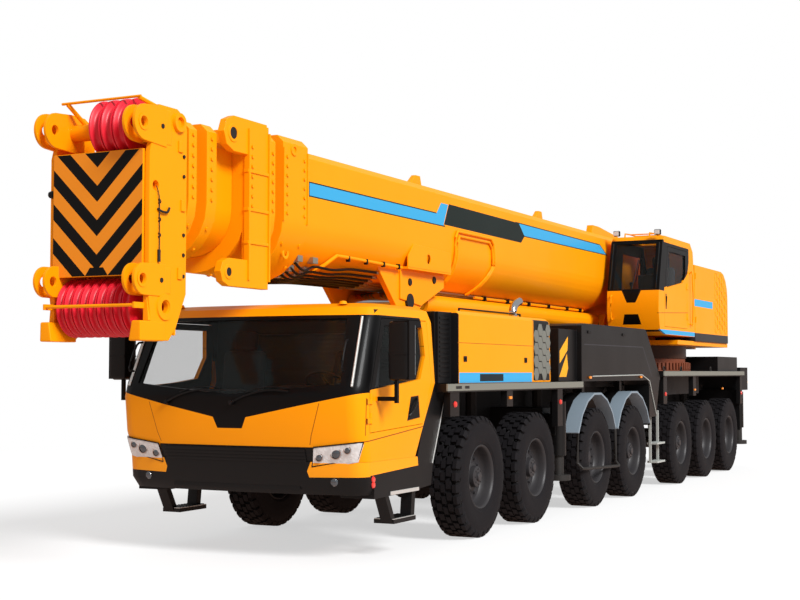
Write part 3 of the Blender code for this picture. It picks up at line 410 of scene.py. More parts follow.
class Stock:
    """One mesh while it is being made, in (x, station, z)."""

    def __init__(self) -> None:
        """Start with an empty mesh."""
        self.bm = bmesh.new()

    def take(self, solid: bmesh.types.BMesh, bevel: float = 0.0, segments: int = 2) -> "Stock":
        """Round a solid's sharp edges and add it.

        Args:
            solid: The solid, which is used up.
            bevel: Width of the rounding, metres.
            segments: Faces across the rounding.

        Returns:
            This stock.
        """
        if bevel:
            sharp = [e for e in solid.edges if len(e.link_faces) == 2 and e.calc_face_angle() > 0.6]
            bmesh.ops.bevel(solid, geom=sharp, offset=bevel, offset_type="OFFSET", segments=segments,
                            profile=0.5, affect="EDGES", clamp_overlap=True, material=-1)
        scratch = bpy.data.meshes.new("scratch")
        solid.to_mesh(scratch)
        solid.free()
        self.bm.from_mesh(scratch)
        bpy.data.meshes.remove(scratch)
        return self

    def block(self, low: Spot, high: Spot, bevel: float = 0.0, turn: Matrix | None = None) -> "Stock":
        """Add a box.

        Args:
            low: Its lowest corner.
            high: Its highest corner.
            bevel: Width of the edge rounding.
            turn: A rotation about its middle.

        Returns:
            This stock.
        """
        solid = bmesh.new()
        size = Vector(high) - Vector(low)
        middle = (Vector(high) + Vector(low)) / 2
        bmesh.ops.create_cube(solid, size=1.0)
        bmesh.ops.scale(solid, vec=size, verts=solid.verts)
        if turn:
            bmesh.ops.transform(solid, matrix=turn, verts=solid.verts)
        bmesh.ops.translate(solid, vec=middle, verts=solid.verts)
        return self.take(solid, bevel)

    def plate(self, view: View, outline: Sequence[Flat], low: float, high: float, bevel: float = 0.0,
              holes: Iterable[Sequence[Flat]] = ()) -> "Stock":
        """Add a flat plate cut to an outline.

        Args:
            view: The direction the outline is drawn from.
            outline: Its corners.
            low: Where the plate starts across the view.
            high: Where it ends.
            bevel: Width of the edge rounding.
            holes: Outlines of holes through it.

        Returns:
            This stock.
        """
        solid = bmesh.new()
        first, second = view.value
        across = 3 - first - second
        edges = []
        for loop in (outline, *holes):
            corners = []
            for u, v in loop:
                place = [0.0, 0.0, 0.0]
                place[first], place[second], place[across] = u, v, low
                corners.append(solid.verts.new(place))
            edges += [solid.edges.new((a, b)) for a, b in zip(corners, corners[1:] + corners[:1])]
        bmesh.ops.triangle_fill(solid, use_beauty=True, edges=edges)
        grown = bmesh.ops.extrude_face_region(solid, geom=solid.faces[:])
        move = Vector((0, 0, 0))
        move[across] = high - low
        bmesh.ops.translate(solid, vec=move,
                            verts=[v for v in grown["geom"] if isinstance(v, bmesh.types.BMVert)])
        bmesh.ops.dissolve_limit(solid, angle_limit=0.01, verts=solid.verts, edges=solid.edges)
        bmesh.ops.recalc_face_normals(solid, faces=solid.faces)
        return self.take(solid, bevel)

    def bar(self, start: Spot, end: Spot, radius: float, sides: int = 16, end_radius: float | None = None,
            bevel: float = 0.0) -> "Stock":
        """Add a round, hexagonal or tapered bar.

        Args:
            start: Middle of its first end.
            end: Middle of its other end.
            radius: Its radius.
            sides: How many faces it has round it.
            end_radius: The other end's radius, if it tapers.
            bevel: Width of the edge rounding.

        Returns:
            This stock.
        """
        solid = bmesh.new()
        line = Vector(end) - Vector(start)
        place = Matrix.Translation((Vector(start) + Vector(end)) / 2) @ line.to_track_quat("Z", "Y").to_matrix().to_4x4()
        bmesh.ops.create_cone(solid, cap_ends=True, segments=sides, radius1=radius,
                              radius2=radius if end_radius is None else end_radius,
                              depth=line.length, matrix=place)
        return self.take(solid, bevel, 1)

    def turned(self, profile: Sequence[Flat], centre: Spot, axis: Spot = (1, 0, 0), steps: int = 48,
               closed: bool = False) -> "Stock":
        """Add a turned body.

        Args:
            profile: Its (radius, place along the axis) points.
            centre: The point on the axis that places count from.
            axis: The axis of turning.
            steps: Faces round it.
            closed: Whether the profile is a loop, as on a ring.

        Returns:
            This stock.
        """
        solid = bmesh.new()
        line = Vector(axis)
        out = line.orthogonal().normalized()
        points = [solid.verts.new(Vector(centre) + line * along + out * radius) for radius, along in profile]
        pairs = list(zip(points, points[1:])) + ([(points[-1], points[0])] if closed else [])
        edges = [solid.edges.new(pair) for pair in pairs]
        bmesh.ops.spin(solid, geom=points + edges, cent=centre, axis=line, angle=math.tau, steps=steps,
                       use_merge=True)
        bmesh.ops.remove_doubles(solid, verts=solid.verts, dist=1e-5)
        bmesh.ops.recalc_face_normals(solid, faces=solid.faces)
        return self.take(solid)

    def pipe(self, points: Sequence[Spot], radius: float, sides: int = 10, smooth: int = 0) -> "Stock":
        """Add a pipe, hose or bent rod along a route.

        Args:
            points: The route.
            radius: The pipe's radius.
            sides: Faces round it.
            smooth: Steps of a smooth curve between the points, or 0 for mitred bends.

        Returns:
            This stock.
        """
        path = smooth_path(points, smooth) if smooth else [Vector(p) for p in points]
        solid = bmesh.new()
        places = []
        for index, point in enumerate(path):
            into = (point - path[index - 1]).normalized() if index else Vector()
            out = (path[index + 1] - point).normalized() if index + 1 < len(path) else Vector()
            facing = (into + out).normalized()
            places.append(Matrix.Translation(point) @ facing.to_track_quat("Z", "Y").to_matrix().to_4x4())
        bmesh.ops.create_circle(solid, cap_ends=True, segments=sides, radius=radius, matrix=places[0])
        cap = next(iter(solid.faces))
        for before, after in zip(places, places[1:]):
            grown = bmesh.ops.extrude_face_region(solid, geom=[cap])["geom"]
            corners = [g for g in grown if isinstance(g, bmesh.types.BMVert)]
            bmesh.ops.transform(solid, matrix=after @ before.inverted(), verts=corners)
            cap = next(g for g in grown if isinstance(g, bmesh.types.BMFace))
        bmesh.ops.recalc_face_normals(solid, faces=solid.faces)
        return self.take(solid)

    def patch(self, corners: Sequence[Flat], surface: Surface, depth: float, columns: int = 10,
              rows: int = 2, view: View = View.FRONT) -> "Stock":
        """Add a thin panel that follows a curved surface.

        Args:
            corners: Its four corners in the view, going round.
            surface: The surface's place across the view at each point of it.
            depth: The panel's thickness.
            columns: Faces along its first edge.
            rows: Faces along its second edge.
            view: The direction the corners are drawn from.

        Returns:
            This stock.
        """
        solid = bmesh.new()
        first, second = view.value
        across = 3 - first - second
        bmesh.ops.create_grid(solid, x_segments=columns, y_segments=rows, size=0.5)
        a, b, c, d = (Vector(corner) for corner in corners)
        for vert in solid.verts:
            u, v = vert.co.x + 0.5, vert.co.y + 0.5
            flat = a.lerp(b, u).lerp(d.lerp(c, u), v)
            vert.co[first], vert.co[second] = flat
            vert.co[across] = surface(flat.x, flat.y)
        bmesh.ops.solidify(solid, geom=solid.faces[:], thickness=depth)
        bmesh.ops.recalc_face_normals(solid, faces=solid.faces)
        return self.take(solid)

    def copy_of(self, node: str, bevel: float = 0.004) -> "Stock":
        """Add a copy of a CAD node with its flat faces joined and its edges rounded.

        Args:
            node: The CAD node's name.
            bevel: Width of the edge rounding.

        Returns:
            This stock.
        """
        solid = bmesh.new()
        solid.from_mesh(frame["nodes"][node].data)
        bmesh.ops.remove_doubles(solid, verts=solid.verts, dist=1e-5)
        bmesh.ops.translate(solid, vec=(0, -FRONT_AXLE_Y, 0), verts=solid.verts)
        bmesh.ops.dissolve_limit(solid, angle_limit=math.radians(0.8), verts=solid.verts, edges=solid.edges)
        return self.take(solid, bevel)

    def twin(self) -> "Stock":
        """Add the mirror image of everything so far on the crane's other side."""
        other = bmesh.ops.duplicate(self.bm, geom=self.bm.verts[:] + self.bm.edges[:] + self.bm.faces[:])["geom"]
        bmesh.ops.scale(self.bm, vec=(-1, 1, 1), verts=[g for g in other if isinstance(g, bmesh.types.BMVert)])
        bmesh.ops.reverse_faces(self.bm, faces=[g for g in other if isinstance(g, bmesh.types.BMFace)])
        return self

    def piece(self, name: str, finish: Finish, body: str, replaces: Sequence[str] = (),
              crease: float = 32.0) -> bpy.types.Object:
        """Turn the stock into a finished piece that rides on a body.

        Args:
            name: The piece's name.
            finish: Its finish.
            body: The CAD body it moves with.
            replaces: CAD nodes it stands for.
            crease: Edges sharper than this many degrees stay sharp.

        Returns:
            The new object.
        """
        bmesh.ops.translate(self.bm, vec=(0, FRONT_AXLE_Y, 0), verts=self.bm.verts)
        mesh = bpy.data.meshes.new(name)
        self.bm.to_mesh(mesh)
        self.bm.free()
        mesh.materials.append(finish.material())
        mesh.shade_smooth()
        mesh.set_sharp_from_angle(angle=math.radians(crease))
        made = bpy.data.objects.new(name, mesh)
        bpy.context.scene.collection.objects.link(made)
        made.modifiers.new("even_shading", "WEIGHTED_NORMAL").keep_sharp = True
        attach(made, body)
        if replaces:
            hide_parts(*replaces)
        LOG.info("%s on %s, %d faces", name, body, len(mesh.polygons))
        return made


def refined(node: str, finish: Finish, bevel: float = 0.004, crease: float = 32.0) -> bpy.types.Object:
    """Replace a CAD node by a copy of it with rounded edges.

    Args:
        node: The CAD node's name.
        finish: The copy's finish.
        bevel: Width of the edge rounding.
        crease: Edges sharper than this many degrees stay sharp.

    Returns:
        The new object.
    """
    body = frame["nodes"][node]["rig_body"]
    return Stock().copy_of(node, bevel).piece(node + "_finished", finish, body, (node,), crease)


def circle(centre: Flat, radius: float, sides: int = 20) -> list[Flat]:
    """The corners of a round outline."""
    return [(centre[0] + radius * math.cos(math.tau * i / sides),
             centre[1] + radius * math.sin(math.tau * i / sides)) for i in range(sides)]


# --------------------------------------------------------------------------- wheels


@dataclass(frozen=True)
class Wheel:
    """One tyre on its steel disc wheel."""

    axle: int
    side: Side
    centre_x: float = 1.2775
    height: float = 0.65681
    tread_base: float = 0.640
    tread_depth: float = 0.0164
    steps: int = 96

    @property
    def centre(self) -> Spot:
        """The middle of the wheel."""
        return (self.side.value * self.centre_x, AXLES[self.axle - 1], self.height)

    @property
    def out(self) -> Spot:
        """The axle's direction away from the crane."""
        return (float(self.side.value), 0.0, 0.0)

    def tyre(self) -> Stock:
        """Turn the tyre's section and raise its tread blocks.

        Returns:
            The tyre.
        """
        half = [(0.338, 0.146), (0.352, 0.166), (0.385, 0.1815), (0.392, 0.1800), (0.46, 0.1915), (0.53, 0.1918),
                (0.575, 0.183), (0.602, 0.174), (0.622, 0.165), (0.6395, 0.150), (self.tread_base, 0.106),
                (self.tread_base, 0.094), (self.tread_base, 0.036), (self.tread_base, 0.024)]
        profile = half + [(radius, -along) for radius, along in reversed(half)]
        stock = Stock().turned(profile, self.centre, self.out, self.steps, closed=True)
        centre = Vector(self.centre)
        rows = ((0.106, 0.19, 0), (0.036, 0.094, 1), (-0.024, 0.024, 0), (-0.094, -0.036, 1),
                (-0.19, -0.106, 2))
        for low, high, shift in rows:
            chosen = []
            for face in stock.bm.faces:
                spot = face.calc_center_median() - centre
                radius = math.hypot(spot.y, spot.z)
                along = spot.x * self.side.value
                turn = math.floor(math.atan2(spot.z, spot.y) / math.tau * self.steps)
                if low < along < high and radius > 0.603 and (turn + shift) % 3:
                    chosen.append(face)
            grown = bmesh.ops.extrude_face_region(stock.bm, geom=chosen)["geom"]
            for vert in (g for g in grown if isinstance(g, bmesh.types.BMVert)):
                spot = vert.co - centre
                radius = math.hypot(spot.y, spot.z)
                lift = self.tread_depth if radius > 0.63 else 0.009
                vert.co = centre + Vector((spot.x * 1.015, *(spot.yz * (1 + lift / radius))))
        bmesh.ops.recalc_face_normals(stock.bm, faces=stock.bm.faces)
        return stock

    def disc(self) -> Stock:
        """Turn the rim, disc and hub, and set the nuts.

        Returns:
            The disc wheel.
        """
        driven = self.axle in DRIVEN_AXLES
        hub = [(0.0, 0.150), (0.040, 0.150), (0.048, 0.144), (0.052, 0.128), (0.098, 0.124), (0.112, 0.114),
               (0.118, 0.064), (0.148, 0.058), (0.156, 0.050), (0.158, 0.024)]
        plain = [(0.0, 0.066), (0.050, 0.066), (0.074, 0.060), (0.082, 0.048), (0.086, 0.030), (0.150, 0.026)]
        barrel = [(0.262, 0.018), (0.285, 0.026), (0.302, 0.050), (0.310, 0.085), (0.316, 0.135), (0.328, 0.158),
                  (0.341, 0.166), (0.348, 0.160), (0.346, 0.148), (0.330, 0.128), (0.330, -0.128),
                  (0.346, -0.148), (0.348, -0.160), (0.341, -0.166), (0.328, -0.158), (0.316, -0.13),
                  (0.312, -0.085), (0.300, -0.062), (0.10, -0.060), (0.0, -0.060)]
        stock = Stock().turned((hub if driven else plain) + barrel, self.centre, self.out, 40)
        reach, count = (0.215, 12) if driven else (0.190, 12)
        rings = [(reach, 0.014, 0.016, 0.046, count), (0.082, 0.008, 0.120, 0.134, 8)]
        for radius, size, low, high, number in rings[:2 if driven else 1]:
            for index in range(number):
                angle = math.tau * index / number
                y, z = radius * math.cos(angle), radius * math.sin(angle)
                ends = [tuple(Vector(self.centre) + Vector((self.side.value * x, y, z))) for x in (low, high)]
                stock.bar(*ends, size, 6)
        return stock

    def build(self) -> None:
        """Make the tyre and the disc wheel."""
        name = f"{self.axle}_{self.side.label}"
        self.tyre().piece(f"tyre_{name}", TYRE_RUBBER, f"wheel_{name}", (f"wheel_{name}",), 24)
        self.disc().piece(f"disc_wheel_{name}", WHEEL_ENAMEL, f"wheel_{name}")
        if self.axle in STEERED_AXLES:
            refined(f"knuckle_{name}", CAST_STEEL, 0.003)


# ------------------------------------------------------------------------- liveries


def outer(x: float) -> tuple[float, float, float, float]:
    """The half space further out than x on both sides."""
    return (1.0, 0.0, 0.0, -x)


def ahead(station: float) -> tuple[float, float, float, float]:
    """The half space in front of a station."""
    return (0.0, -1.0, 0.0, station)


def band(low: float, high: float, start: float, end: float) -> tuple[Flat, ...]:
    """A rectangle between two first-axis places and two second-axis places."""
    return ((low, start), (high, start), (high, end), (low, end))


# The slice between the warning board's face and anything ahead of it.
BOARD_FACE = (ahead(-4.738), (0.0, 1.0, 0.0, 4.752))
BOOM_LIVERY = replace(YELLOW_ENAMEL, name="boom_enamel_with_stripes", zones=(
    Zone(BLUE, ((-2.13, 3.535), (1.035, 3.535), (0.82, 3.66), (-2.13, 3.66)), edge=0.013),
    Zone(BLUE, ((0.82, 3.655), (1.025, 3.54), (1.16, 3.80), (0.955, 3.80))),
    Zone(BLUE, ((3.50, 3.645), (7.20, 3.66), (6.88, 3.785), (3.35, 3.795)), edge=0.013),
    Zone("#16211F", ((1.04, 3.55), (3.53, 3.54), (3.66, 3.64), (3.45, 3.80), (1.18, 3.81))),
))
HEAD_LIVERY = replace(YELLOW_ENAMEL, name="head_enamel_with_chevrons", zones=(
    Zone("#E58B22", band(-0.01, 0.466, 2.59, 3.625), View.FRONT, planes=BOARD_FACE),
    Zone("#0C0B0A", band(-0.01, 0.466, 2.59, 3.625), View.FRONT, planes=BOARD_FACE,
         bands=(-0.963, 0.0, 1.0, 0.2885, 0.47, 2.921)),
    Zone("#0C0B0A", ((-0.01, 2.59), (0.12, 2.59), (0.07, 2.66), (-0.01, 2.66)), View.FRONT,
         planes=BOARD_FACE),
))
CAB_GLASS_SIDE = ((-2.95, 1.575), (-1.54, 1.712), (-1.42, 1.79), (-1.25, 2.05), (-1.30, 2.335), (-2.95, 2.335))
CAB_LIVERY = replace(YELLOW_ENAMEL, name="cab_enamel_with_black_mask", zones=(
    Zone(BLACK, ((-0.01, 1.36), (0.18, 1.36), (1.39, 1.600), (1.39, 2.335), (-0.01, 2.335)), View.FRONT,
         planes=(ahead(-2.20),)),
    Zone(BLACK, ((-0.01, 1.255), (0.14, 1.255), (0.19, 1.37), (-0.01, 1.37)), View.FRONT, planes=(ahead(-2.20),)),
    Zone(BLACK, CAB_GLASS_SIDE, planes=(outer(1.20),)),
    Zone(BLACK, ((-0.01, 0.90), (0.84, 0.90), (0.87, 1.088), (-0.01, 1.088)), View.FRONT, planes=(ahead(-2.40),)),
    Zone("#9C4F10", ((0.965, 1.50), (0.845, 1.11), (0.853, 1.11), (0.973, 1.50)), View.FRONT,
         planes=(ahead(-2.40),)),
    Zone("#8A480C", ((-2.535, 1.20), (-2.525, 1.20), (-2.525, 1.55), (-2.535, 1.55)), planes=(outer(1.30),)),
    Zone("#8A480C", ((-2.70, 1.125), (-1.15, 1.255), (-1.15, 1.265), (-2.70, 1.135)), planes=(outer(1.28),)),
    Zone("#1A1A1B", ((-2.53, 1.02), (-2.57, 1.55), (-2.22, 2.39), (-1.02, 2.39), (-1.02, 1.02)),
         planes=((-1.0, 0.0, 0.0, 1.30),)),
))
DOOR_LIVERY = replace(YELLOW_ENAMEL, name="door_enamel_with_black_frame", zones=(
    Zone(BLACK, CAB_GLASS_SIDE),
    # The handle recess is not modelled; it is painted shade, near black inside with a darker orange rim painted as its
    # shaded edge.
    Zone("#101011", ((-1.60, 1.545), (-1.43, 1.555), (-1.40, 1.34), (-1.68, 1.315)), edge=0.006,
         edge_colour="#B86A0A"),
    Zone("#1A1A1B", band(-2.6, -1.0, 1.0, 2.4), planes=((-1.0, 0.0, -0.07, 1.445),)),
    Zone(BLACK, band(1.392, 1.80, 1.40, 2.40), View.FRONT),
))
BUMPER_LIVERY = replace(MOULDED_PLASTIC, name="moulded_bumper_with_painted_lip", zones=(
    Zone("#F39A10", ((0.80, 0.862), (0.82, 0.805), (1.45, 0.815), (1.45, 1.0), (0.86, 1.0)), View.FRONT,
         planes=(ahead(-2.42),)),
    Zone("#FA9A0C", ((-2.75, 0.812), (-1.40, 0.862), (-1.40, 1.0), (-2.75, 1.0)), planes=(outer(1.22),)),
))
HOOD_LIVERY = replace(YELLOW_ENAMEL, name="hood_enamel_with_stripe", zones=(
    Zone("#141415", band(-1.30, -0.612, 1.3, 2.6)),
    Zone(BLUE, band(-0.60, 1.51, 1.675, 1.785), planes=(outer(1.38),)),
    Zone("#10222C", band(-0.05, 0.62, 1.69, 1.77), planes=(outer(1.38),)),
    Zone("#A8620A", band(-0.62, 1.53, 2.096, 2.104), planes=(outer(1.38),)),
    Zone("#A8620A", band(1.53, 1.54, 1.67, 2.42), planes=(outer(1.38),)),
    Zone("#17181A", band(1.560, 2.130, 1.69, 2.415), planes=(outer(1.30),)),
))
DECK_LIVERY = replace(BLACK_ENAMEL, name="deck_enamel_with_grey_edge", zones=(
    Zone("#77786F", band(-0.96, 3.30, 1.595, 1.668), planes=(outer(1.462),)),
    Zone("#1B1B1B", band(-0.75, -0.60, 1.615, 1.645), planes=(outer(1.462),)),
    Zone("#1B1B1B", band(-0.52, -0.40, 1.615, 1.645), planes=(outer(1.462),)),
    Zone("#77786F", band(7.0, 12.60, 1.735, 1.805), planes=(outer(1.482),)),
))
MID_LIVERY = replace(BLACK_ENAMEL, name="middle_cover_enamel", zones=(
    Zone("#F2A715", ((2.66, 1.90), (2.66, 2.06), (2.97, 2.25), (2.95, 2.07)), planes=(outer(1.36),)),
    Zone("#F2A715", ((2.64, 1.73), (2.93, 2.03), (2.97, 1.84), (2.90, 1.73)), planes=(outer(1.36),)),
    Zone("#7B8994", band(2.95, 6.30, 0.4, 1.53), planes=(outer(1.27),)),
    Zone("#34343A", ((3.40, 2.150), (6.05, 2.155), (6.05, 2.165), (3.40, 2.160)), planes=(outer(1.30),)),
    Zone("#34343A", ((6.05, 2.155), (6.50, 1.72), (6.51, 1.73), (6.06, 2.165)), planes=(outer(1.30),)),
    Zone("#050505", ((6.27, 2.06), (6.68, 1.80), (6.72, 1.83), (6.31, 2.09)), planes=(outer(1.30),)),
))
OPERATOR_LIVERY = replace(YELLOW_ENAMEL, name="operator_cab_enamel", zones=(
    Zone(BLACK, ((6.80, 3.055), (8.35, 3.275), (8.62, 3.41), (8.71, 3.60), (8.71, 3.83), (6.80, 3.83)),
         planes=(outer(1.38),)),
    Zone(BLACK, band(0.60, 1.46, 3.06, 3.865), View.FRONT, planes=(ahead(7.235),)),
    Zone(BLACK, ((0.85, 3.07), (0.94, 2.87), (1.08, 2.87), (1.17, 3.07)), View.FRONT, planes=(ahead(7.1),)),
    Zone(BLACK, ((0.86, 2.53), (1.16, 2.53), (1.12, 2.69), (0.90, 2.69)), View.FRONT, planes=(ahead(7.1),)),
    Zone(BLACK, ((7.55, 3.02), (8.76, 3.02), (8.76, 3.74), (7.55, 3.74)), planes=((-1.0, 0.0, 0.0, 0.66),)),
    Zone(BLUE, band(6.80, 9.10, 2.385, 2.455), planes=(outer(1.42),)),
    Zone("#9A560C", ((6.80, 2.695), (8.66, 2.765), (8.66, 2.775), (6.80, 2.705)), planes=(outer(1.42),)),
    Zone("#1A1A1B", ((7.00, 2.42), (6.97, 3.05), (7.22, 3.88), (8.76, 3.88), (9.0, 3.30), (9.0, 2.42)),
         planes=((-1.0, 0.0, 0.0, 1.418), (1.0, 0.0, 0.0, -0.655))),
))
OPERATOR_DOOR_LIVERY = replace(OPERATOR_LIVERY, name="operator_door_enamel", zones=(
    OPERATOR_LIVERY.zones[0],
    OPERATOR_LIVERY.zones[6],
    # A narrow strip of painted shade stands for the recess behind the door handle.
    Zone("#101011", band(7.30, 7.36, 2.78, 3.02)),
    Zone("#1A1A1B", band(6.8, 9.0, 2.3, 3.9), planes=((-1.0, 0.0, 0.0, 1.418),)),
))
MACHINERY_LIVERY = replace(YELLOW_ENAMEL, name="machinery_cover_enamel", zones=(
    Zone("#2B2B2D", band(9.0, 11.6, 2.2, 2.45)),
    Zone(BLUE, band(9.0, 10.30, 2.90, 3.02), planes=(outer(1.43),)),
))
TURNTABLE_LIVERY = replace(YELLOW_ENAMEL, name="turntable_enamel", zones=(
    Zone("#3A241A", band(7.0, 12.0, 1.9, 2.236)),
))
TAIL_LIVERY = replace(CHASSIS_ENAMEL, name="chassis_enamel_with_tail_stripes", zones=(
    Zone("#E8A21A", band(0.45, 1.43, 1.47, 1.62), View.FRONT, planes=((0.0, 1.0, 0.0, -13.10),)),
    Zone("#0C0B0A", band(0.45, 1.43, 1.47, 1.62), View.FRONT, planes=((0.0, 1.0, 0.0, -13.10),),
         bands=(1.0, 0.0, 1.0, 0.24, 0.5, 0.0)),
))

# What each carried-over CAD node is finished with, and how wide its edges are rounded.
NODE_FINISHES: dict[str, tuple[Finish, float]] = {
    "boom_base": (BOOM_LIVERY, 0.006),
    **{f"boom_section_{number}": (YELLOW_ENAMEL, 0.005) for number in range(1, 5)},
    "carrier_cab": (CAB_LIVERY, 0.004),
    "left_cab_door": (DOOR_LIVERY, 0.003),
    "right_cab_door": (DOOR_LIVERY, 0.003),
    "windscreen": (TINTED_GLASS, 0.0),
    "front_bumper": (BUMPER_LIVERY, 0.008),
    "engine_housing": (HOOD_LIVERY, 0.008),
    "engine_block": (CAST_STEEL, 0.01),
    "carrier_deck": (DECK_LIVERY, 0.006),
    "mid_housing": (MID_LIVERY, 0.008),
    "chassis_frame": (TAIL_LIVERY, 0.006),
    "front_axles": (CAST_STEEL, 0.006),
    "middle_axles": (CAST_STEEL, 0.006),
    "rear_axles": (CAST_STEEL, 0.006),
    "superstructure_frame": (TURNTABLE_LIVERY, 0.006),
    "operator_cab": (OPERATOR_LIVERY, 0.006),
    "operator_door": (OPERATOR_DOOR_LIVERY, 0.003),
    "left_machinery_housing": (MACHINERY_LIVERY, 0.012),
    "right_machinery_housing": (MACHINERY_LIVERY, 0.012),
    "luffing_barrels": (YELLOW_ENAMEL, 0.004),
    "luffing_rods": (CHROMED_STEEL, 0.003),
    **{f"{end}_{side}_outrigger_beam": (BLACK_ENAMEL, 0.006) for end in ("front", "rear") for side in ("left", "right")},
    **{f"{end}_{side}_jack": (CAST_STEEL, 0.004) for end in ("front", "rear") for side in ("left", "right")},
}


# ----------------------------------------------------------------------- carrier cab

CAB_RINGS = ((0.95, -2.66, 1.36), (1.20, -2.74, 1.375), (1.55, -2.78, 1.375), (1.68, -2.74, 1.375),
             (2.30, -2.46, 1.335), (2.41, -2.38, 1.30), (2.455, -2.24, 1.20))
CAB_CORNER = 0.16
CAB_CROWN = 0.10


def cab_ring(z: float) -> tuple[float, float]:
    """The cab's foremost station and half width at a height.

    Args:
        z: The height.

    Returns:
        Station and half width.
    """
    if z <= CAB_RINGS[0][0]:
        return CAB_RINGS[0][1], CAB_RINGS[0][2]
    for low, high in zip(CAB_RINGS, CAB_RINGS[1:]):
        if z <= high[0]:
            share = (z - low[0]) / (high[0] - low[0])
            return low[1] + share * (high[1] - low[1]), low[2] + share * (high[2] - low[2])
    return CAB_RINGS[-1][1], CAB_RINGS[-1][2]


def cab_front(x: float, z: float, lift: float = 0.0) -> float:
    """The station of the cab's front at a point seen from ahead.

    Args:
        x: Distance across.
        z: The height.
        lift: How far ahead of the surface.

    Returns:
        The station.
    """
    front, half = cab_ring(z)
    corner = half - CAB_CORNER
    reach = min(abs(x), half - 0.002)
    middle = half * 0.55
    if reach <= middle:
        return front + CAB_CROWN * 0.25 * reach / middle - lift
    if reach <= corner:
        return front + CAB_CROWN * (0.25 + 0.75 * (reach - middle) / (corner - middle)) - lift
    return front + CAB_CROWN + CAB_CORNER - math.sqrt(CAB_CORNER ** 2 - (reach - corner) ** 2) - lift


